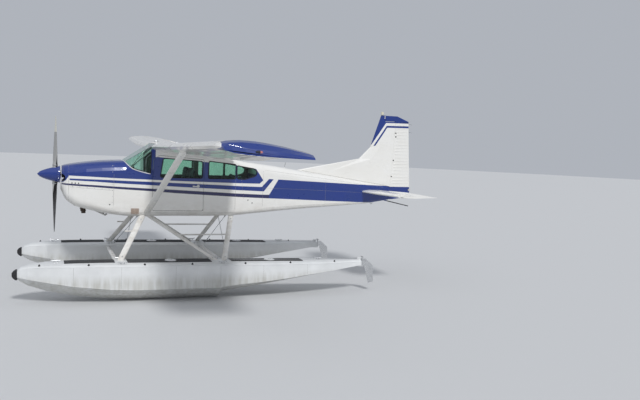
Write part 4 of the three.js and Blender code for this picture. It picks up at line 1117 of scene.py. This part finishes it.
for side, s in SIDES:
    for stem, share in CUFFS.items():
        name = f"{stem}_{side}"
        for k, (start, end) in enumerate((ends_of(name), ends_of(name)[::-1])):
            axis = (end - start).normalized()
            middle = start + axis * share
            across = axis.orthogonal().normalized()
            ring = section((name,), middle, circle(20, across, axis.cross(across)), 0.4)
            ring = [middle + (hit[0] - middle) * 1.10 for hit in ring if hit]
            plate(f"{stem}_cuff_{side}_{k}", WHITE_PAINT, ring, axis * 0.05, 0.004)
            hits = section((name,), middle + axis * 0.025, (Y, -Y), 0.5)
            spots = [(hit[0] + way * 0.008, way) for hit, way in zip(hits, (Y, -Y)) if hit]
            rivet_rows(f"{stem}_bolts_{side}_{k}", spots, BRIGHT, 0.013)
    for stem in ("front_wire_to", "rear_wire_to"):
        start, end = ends_of(f"{stem}_{side}")
        axis = (end - start).normalized()
        lathe(f"{stem}_turnbuckle_{side}", BRIGHT, TURNBUCKLE, start + axis * 0.22, axis, 12)
        for k, (place, way) in enumerate(((start, axis), (end, -axis))):
            lathe(f"{stem}_fork_{side}_{k}", STEEL, FORK, place + way * 0.03, way, 10)

for stem in ("front_spreader_bar", "rear_spreader_bar"):
    low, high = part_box(stem)
    for side, s in SIDES:
        middle = Vector(((low.x + high.x) / 2, s * (high.y - 0.06), (low.z + high.z) / 2))
        ring = [hit[0] for hit in section((stem,), middle, circle(16, X, Z), 0.3) if hit]
        ring = [place + (place - middle) * 0.12 for place in ring]
        plate(f"{stem}_collar_{side}", BRIGHT, ring, Y * -s * 0.04, 0.003)

# Propeller: ring behind the spinner, its screws and joint, and the blade clamps

SPINNER = ("spinner",)
ring = ((0.070, 0.150), (0.070, 0.161), (0.086, 0.161), (0.088, 0.150), (0.070, 0.150))
lathe("spinner_back_ring", BLUE_PAINT, ring, at(0, 0, SHAFT_Z), X, 64, "propeller")
spots = section(SPINNER, at(0.055, 0, SHAFT_Z), circle(20, Y, Z, 0.5), 0.5)
rivet_rows("spinner_screws", spots, BRIGHT, 0.006, "propeller")
places = section(SPINNER, at(0.035, 0, SHAFT_Z), circle(48, Y, Z), 0.5)
joint_line("spinner_joint", places, 0.0014, NAVY_LINE, "propeller", True)
clamp = ((0, 0.0), (0, 0.049), (0.012, 0.049), (0.016, 0.047), (0.016, 0.0))
for k, way in enumerate((-Z, Z)):
    start = at(0, 0, SHAFT_Z) + way * 0.5
    rim = [cast(SPINNER, start + out * 0.052, -way) for out in circle(24, X, Y)]
    joint_line(f"blade_cutout_rim_{k}", rim, 0.004, BRIGHT, "propeller", True)
    lathe(f"blade_clamp_{k}", STEEL, clamp, at(0, 0, SHAFT_Z) + way * 0.165, way, 28, "propeller")

# Cabin: dials and controls on the panel, pedestal, pedals, visors and door pockets

BOARD_X = 1.4402
WHEEL_Y = 0.265
# Place across and up, and radius
DIALS = ((-0.44, 0.088, 0.034), (-0.36, 0.088, 0.038), (-0.275, 0.088, 0.038), (-0.19, 0.088, 0.038),
         (-0.44, 0.008, 0.034), (-0.36, 0.004, 0.038), (-0.19, 0.004, 0.038), (-0.44, -0.066, 0.030),
         (0.19, 0.098, 0.026), (0.25, 0.098, 0.026), (0.31, 0.098, 0.026), (0.37, 0.098, 0.026),
         (0.19, 0.038, 0.026), (0.33, 0.040, 0.026), (0.39, 0.038, 0.026), (0.45, 0.098, 0.022))
RADIO_LEVELS = (0.108, 0.066, 0.024, -0.018)


def copied(name, material, pattern, places):
    """Copies of a shape at the places, finished as one piece."""
    copies(pattern, places)
    finished(name, material)


def all_in_one(name, material, pieces):
    joined(pieces)
    finished(name, material)


def on_axle(profile, turns):
    """A turned shape round X, at the origin."""
    return turned(profile, (0, 0, 0), X, turns)


dials = [Matrix.Translation(at(BOARD_X, y, z)) @ Matrix.Scale(radius, 4) for y, z, radius in DIALS]
ring = ((0, 0.86), (0, 1.0), (0.18, 1.0), (0.24, 0.94), (0.10, 0.86), (0, 0.86))
copied("dial_rings", BRIGHT, on_axle(ring, 24), dials)
copied("dial_faces", WRINKLE, on_axle(((0, 0.0), (0, 0.87), (0.06, 0.87), (0.06, 0.0)), 24), dials)
hands = []
for k, (y, z, radius) in enumerate(DIALS):
    turn = 0.7 + k * 2.2
    pivot = at(BOARD_X + 0.0032, y, z)
    tip = pivot + (Y * math.sin(turn) + Z * math.cos(turn)) * radius * 0.66
    hands.append(wire([pivot, tip], 0.0014, sides=1))
all_in_one("dial_hands", BRIGHT, hands)

# Radio stack, switches, knobs and the round compass on the hood
units = [block(at(BOARD_X + 0.006, 0.035, z), (0.016, 0.165, 0.036), 0.003) for z in RADIO_LEVELS]
all_in_one("radio_units", WRINKLE, units)
knob = on_axle(((0, 0.0), (0, 0.008), (0.012, 0.008), (0.014, 0.006), (0.014, 0.0)), 12)
places = [Matrix.Translation(at(BOARD_X + 0.014, y, z)) for z in RADIO_LEVELS for y in (-0.035, 0.105)]
copied("radio_knobs", RUBBER, knob, places)
windows = []
for z in RADIO_LEVELS:
    corners = ((-0.01, z - 0.009), (0.08, z - 0.009), (0.08, z + 0.009), (-0.01, z + 0.009))
    windows.append(panel([at(BOARD_X + 0.0142, *corner) for corner in corners], X * 0.0012))
all_in_one("radio_windows", NAVY_LINE, windows)
rocker = block((0, 0, 0), (0.012, 0.012, 0.02), 0.002, (0, math.radians(14), 0))
places = [Matrix.Translation(at(BOARD_X + 0.004, y, -0.1)) for y in steps(-0.42, -0.12, 0.03)]
copied("switch_row", WHITE_PAINT, rocker, places)
nut = ((0, 0.0), (0, 0.013), (0.006, 0.011), (0.006, 0.0))
for name, y, material, size in (
    ("throttle", -0.03, RUBBER, 0.019),
    ("pitch_control", 0.035, NAVY_LINE, 0.015),
    ("mixture_control", 0.10, RED_LENS, 0.015),
):
    knob = ((0, 0.0), (0, 0.005), (0.055, 0.005), (0.057, size * 0.8), (0.066, size), (0.080, size * 0.9),
            (0.085, 0.0))
    lathe(f"{name}_knob", material, knob, at(BOARD_X - 0.001, y, -0.088), X, 16)
    lathe(f"{name}_nut", BRIGHT, nut, at(BOARD_X, y, -0.088), X, 16)
compass = ((-0.03, 0.0), (-0.03, 0.022), (-0.02, 0.030), (0.02, 0.030), (0.03, 0.022), (0.03, 0.0))
lathe("compass", WRINKLE, compass, at(1.43, 0, 0.188), X, 20)
slab("compass_foot", WRINKLE, at(1.43, 0, 0.156), (0.05, 0.03, 0.016), 0.004)
slab("hood_cover", RUBBER, at(1.372, 0, 0.1515), (0.19, 1.0, 0.008), 0.003)

# Pedestal with the trim wheel and fuel lever
slab("pedestal", WRINKLE, at(1.46, 0.035, -0.38), (0.12, 0.13, 0.515), 0.012)
wheel = ((-0.012, 0.0), (-0.012, 0.078), (-0.006, 0.086), (0.006, 0.086), (0.012, 0.078), (0.012, 0.0))
lathe("trim_wheel", RUBBER, wheel, at(1.50, 0.035, -0.27), Y, 28)
valve = ((0, 0.0), (0, 0.026), (0.008, 0.024), (0.008, 0.0))
lathe("fuel_valve", RED_LENS, valve, at(1.52, 0.035, -0.45), X, 16)
slab("fuel_lever", BRIGHT, at(1.531, 0.035, -0.45), (0.008, 0.012, 0.07), 0.003, (math.radians(30), 0, 0))

# Grips on the control wheels, pedals, visors and door pockets
boss = ((0, 0.0), (0, 0.028), (0.01, 0.026), (0.012, 0.0))
boot = ((0, 0.0), (0, 0.032), (0.012, 0.022), (0.014, 0.0))
for side, s in SIDES:
    hub, door = s * WHEEL_Y, f"door_{side}"
    for k in (-1, 1):
        grip = [at(1.5875, hub + k * 0.102, 0.074), at(1.5875, hub + k * 0.082, -0.02)]
        bar(f"wheel_grip_{side}_{'inner' if k == -s else 'outer'}", RUBBER, grip, 0.016, sides=3)
    lathe(f"wheel_boss_{side}", BRIGHT, boss, at(1.60, hub, -0.03), X, 20)
    lathe(f"column_boot_{side}", RUBBER, boot, at(BOARD_X - 0.001, hub, -0.03), X, 20)
    for k, y in enumerate((s * 0.19, s * 0.34)):
        slab(f"pedal_{side}_{k}", RUBBER, at(1.235, y, -0.52), (0.012, 0.085, 0.13), 0.004,
             (0, math.radians(-22), 0))
        arm = [at(1.225, y, -0.50), at(1.19, y, -0.57), at(1.20, y, -0.642)]
        bar(f"pedal_arm_{side}_{k}", STEEL, arm, 0.008)
    visor = ((1.765, 0.12, 0.628), (1.765, 0.42, 0.605), (1.745, 0.42, 0.48), (1.745, 0.12, 0.49))
    plate(f"sun_visor_{side}", RUBBER, [at(x, s * y, z) for x, y, z in visor], X * 0.008, 0.003)
    pocket = [at(x, s * 0.5145, z) for x, z in ((1.80, -0.40), (1.95, -0.42), (1.95, -0.62), (1.80, -0.62))]
    plate(f"door_pocket_{side}", WRINKLE, pocket, Y * -s * 0.012, 0.004, door)
    pull = [at(x, s * y, -0.05) for x, y in ((2.56, 0.515), (2.55, 0.492), (2.40, 0.492), (2.39, 0.515))]
    bar(f"door_pull_{side}", BRIGHT, pull, 0.008, door)

# Seats: swelled cushions with sewn channels and piping, on sheet bases

VOXEL = 0.011
SWELL = 0.025
PADDED = ("cushion", "back")
BELT_WIDTH = 0.046
RIGHT_OF_LEFT = 0.53


def select_near(piece, near):
    ops.object.mode_set(mode="EDIT")
    ops.mesh.select_mode(type="VERT")
    ops.mesh.select_all(action="DESELECT")
    ops.object.mode_set(mode="OBJECT")
    for vertex in piece.data.vertices:
        vertex.select = near(vertex.co)
    ops.object.mode_set(mode="EDIT")


def stuffed(length, width, thick, channels):
    """A pad round the origin: X along it, Y across it and Z through it."""
    pad = block((0, 0, 0), (length - 0.03, width - 0.03, thick - 0.025), thick * 0.26)
    pad.modifiers.new("even", "REMESH").voxel_size = VOXEL
    ops.object.modifier_apply(modifier="even")
    rest = [vertex.co.copy() for vertex in pad.data.vertices]
    cloth = pad.modifiers.new("stuffing", "CLOTH")
    cloth.settings.use_pressure = True
    cloth.settings.uniform_pressure_force = 4
    cloth.settings.effector_weights.gravity = 0
    for number in range(1, 21):
        bpy.context.scene.frame_set(number)
    ops.object.modifier_apply(modifier="stuffing")
    bpy.context.scene.frame_set(1)
    for vertex, start in zip(pad.data.vertices, rest):
        step = vertex.co - start
        vertex.co = start + step * min(1.0, SWELL / max(step.length, 1e-6))
    pad.modifiers.new("fine", "SUBSURF").levels = 1
    ops.object.modifier_apply(modifier="fine")
    for reach, depth in ((0.014, 0.003), (0.006, 0.004)):
        select_near(pad, lambda co: co.z > 0.01 and any(abs(co.x - level) < reach for level in channels))
        ops.transform.shrink_fatten(value=-depth)
        ops.object.mode_set(mode="OBJECT")
    return pad


def piping(pad, length, width, level):
    """The welt round a pad, at a height in it."""
    vertices = [vertex.co for vertex in pad.data.vertices]
    tree = BVHTree.FromPolygons(vertices, [face.vertices[:] for face in pad.data.polygons])
    corners = [(length, width), (-length, width), (-length, -width), (length, -width)]
    places = []
    for (x0, y0), (x1, y1) in zip(corners, corners[1:] + corners[:1]):
        for i in range(14):
            t = i / 14
            start = Vector((x0 + (x1 - x0) * t, y0 + (y1 - y0) * t, level))
            inward = Vector((start.x * 0.3, start.y * 0.3, level)) - start
            places.append(tree.ray_cast(start, inward.normalized())[0])
    return wire([place for place in places if place], 0.0045, True)


def lap_belt(name, cushion, x, y):
    """A flat lap belt laid on the cushion, from the crease at the back to its buckle."""
    skin = BVHTree.FromObject(cushion, bpy.context.evaluated_depsgraph_get())
    halves = []
    for s in (-1, 1):
        start, end = at(x + 0.445, y + s * 0.15, 0.3), at(x + 0.20, y + s * 0.018, 0.3)
        course = (end - start).normalized()
        width = Vector((-course.y, course.x, 0)) * BELT_WIDTH
        places = [skin.ray_cast(start.lerp(end, i / 9), DOWN)[0] for i in range(10)]
        path([place - width / 2 + Z * 0.005 for place in places if place])
        ops.object.mode_set(mode="EDIT")
        ops.mesh.select_all(action="SELECT")
        ops.mesh.extrude_region_move(TRANSFORM_OT_translate={"value": width})
        ops.object.mode_set(mode="OBJECT")
        half = bpy.context.object
        weave = half.modifiers.new("webbing", "SOLIDIFY")
        weave.thickness = 0.003
        weave.offset = 1
        ops.object.modifier_apply(modifier="webbing")
        halves.append(half)
    joined(halves)
    finished(name, WEBBING)
    middle = skin.ray_cast(at(x + 0.2, y, 0.3), DOWN)[0]
    slab(f"{name}_buckle", BRIGHT, middle + Z * 0.014, (0.052, 0.064, 0.014), 0.003)


def seat(node, x, y, width, top, belts):
    """Cushion, back, base and rails of one seat, from its front edge aft."""
    rise, run = top + 0.33, 0.118
    tall = math.hypot(run, rise)
    parts = (
        ("cushion", (0.49, width, 0.115), (-0.10, 0.0, 0.10), (x + 0.235, y, -0.338), 0.0),
        ("back", (tall, width, 0.082), (-0.25 * tall, 0.0, 0.25 * tall), (x + 0.526, y, (top - 0.33) / 2),
         math.atan2(run, rise) - math.pi / 2),
    )
    pads = []
    for kind, size, channels, middle, turn in parts:
        pad = stuffed(*size, channels)
        for label, level in (("upper", size[2] * 0.30), ("lower", -size[2] * 0.30)):
            welt = piping(pad, size[0] * 0.5 + 0.05, size[1] * 0.5 + 0.05, level)
            welt.rotation_euler = (0, turn, 0)
            welt.location = at(*middle)
            finished(f"{node}_{kind}_{label}_piping", RUBBER)
        bpy.context.view_layer.objects.active = pad
        pad.rotation_euler = (0, turn, 0)
        pad.location = at(*middle)
        finished(f"{node}_{kind}", CLOTH, smooth=60)
        pads.append(pad)
    for k, across in enumerate(belts):
        lap_belt(f"{node}_belt_{k}", pads[0], x, y + across)
    base = slab(f"{node}_base", WRINKLE, at(x + 0.23, y, -0.5195), (0.34, width - 0.06, 0.245), 0.012)
    for label, way in (("inner", -1), ("outer", 1)):
        middle = at(x + 0.24, y + way * (width / 2 - 0.06), -0.637)
        slab(f"{node}_rail_{label}", BRIGHT, middle, (0.56, 0.028, 0.012), 0.003)
    for piece in (*pads, base):
        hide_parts(node)


def twin_of_left_seat():
    """The right seat: each piece of the left one again, across the cabin."""
    for piece in [piece for piece in bpy.data.objects if piece.name.startswith("front_seat_left_")]:
        mesh = piece.data.copy()
        mesh.transform(Matrix.Translation((0, RIGHT_OF_LEFT, 0)))
        twin = bpy.data.objects.new(piece.name.replace("left", "right"), mesh)
        bpy.context.scene.collection.objects.link(twin)
        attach(twin, "airframe")
        if piece.name.endswith((*PADDED, "base")):
            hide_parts("front_seat_right")


seat("front_seat_left", 1.970, -0.265, 0.43, 0.262, (0,))
twin_of_left_seat()
seat("rear_bench", 2.930, 0.0, 0.91, 0.13, (-0.23, 0.23))

# Studio: floor, light and camera

# The photograph's lens, as its focal length in pixels of a frame this wide
FOCAL, FRAME_WIDTH, SENSOR = 715.5, 640, 36
EYE = (-0.168, -14.437, 0.8226)
YAW, PITCH, ROLL = 0.367914, -0.078889, 0.0424548


def studio():
    ops.mesh.primitive_circle_add(vertices=96, radius=90, fill_type="NGON", location=(0, 0, -0.004))
    floor = bpy.context.object
    floor.name = "studio_floor"
    finish = Finish("pale_floor", 0.75)
    finish.set("Base Color", (0.60, 0.605, 0.61))
    floor.data.materials.append(finish.material)
    floor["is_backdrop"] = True
    world = bpy.data.worlds.new("studio_air")
    bpy.context.scene.world = world
    world.use_nodes = True
    sky = world.node_tree.nodes["Background"].inputs
    sky["Color"].default_value = (0.86, 0.91, 1.0, 1)
    sky["Strength"].default_value = 0.5
    for name, power, spread, turn in (
        ("key_light", 1.9, 9, (46, 0, 2)),
        ("fill_light", 0.25, 60, (35, 0, -70)),
    ):
        lamp = bpy.data.objects.new(name, bpy.data.lights.new(name, "SUN"))
        lamp.data.energy = power
        lamp.data.angle = math.radians(spread)
        lamp.rotation_euler = [math.radians(angle) for angle in turn]
        bpy.context.scene.collection.objects.link(lamp)


def camera():
    """The photograph's viewpoint: where it stands, its turns and its lens."""
    level = X * math.sin(YAW) + Y * math.cos(YAW)
    beside = X * math.cos(YAW) - Y * math.sin(YAW)
    forward = level * math.cos(PITCH) + Z * math.sin(PITCH)
    above = Z * math.cos(PITCH) - level * math.sin(PITCH)
    right = beside * math.cos(ROLL) + above * math.sin(ROLL)
    top = above * math.cos(ROLL) - beside * math.sin(ROLL)
    lens = bpy.data.cameras.new("photo_camera")
    lens.sensor_width = SENSOR
    lens.lens = FOCAL / FRAME_WIDTH * SENSOR
    lens.clip_end = 400
    eye = bpy.data.objects.new("photo_camera", lens)
    axes = Matrix((right, top, -forward)).transposed().to_4x4()
    eye.matrix_world = Matrix.Translation(at(*EYE)) @ axes
    bpy.context.scene.collection.objects.link(eye)
    bpy.context.scene.camera = eye


studio()
camera()
bpy.context.scene.view_settings.view_transform = "Standard"

size = {"cad": [list(corner) for corner in cad_box], "visual": [list(corner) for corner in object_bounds()]}
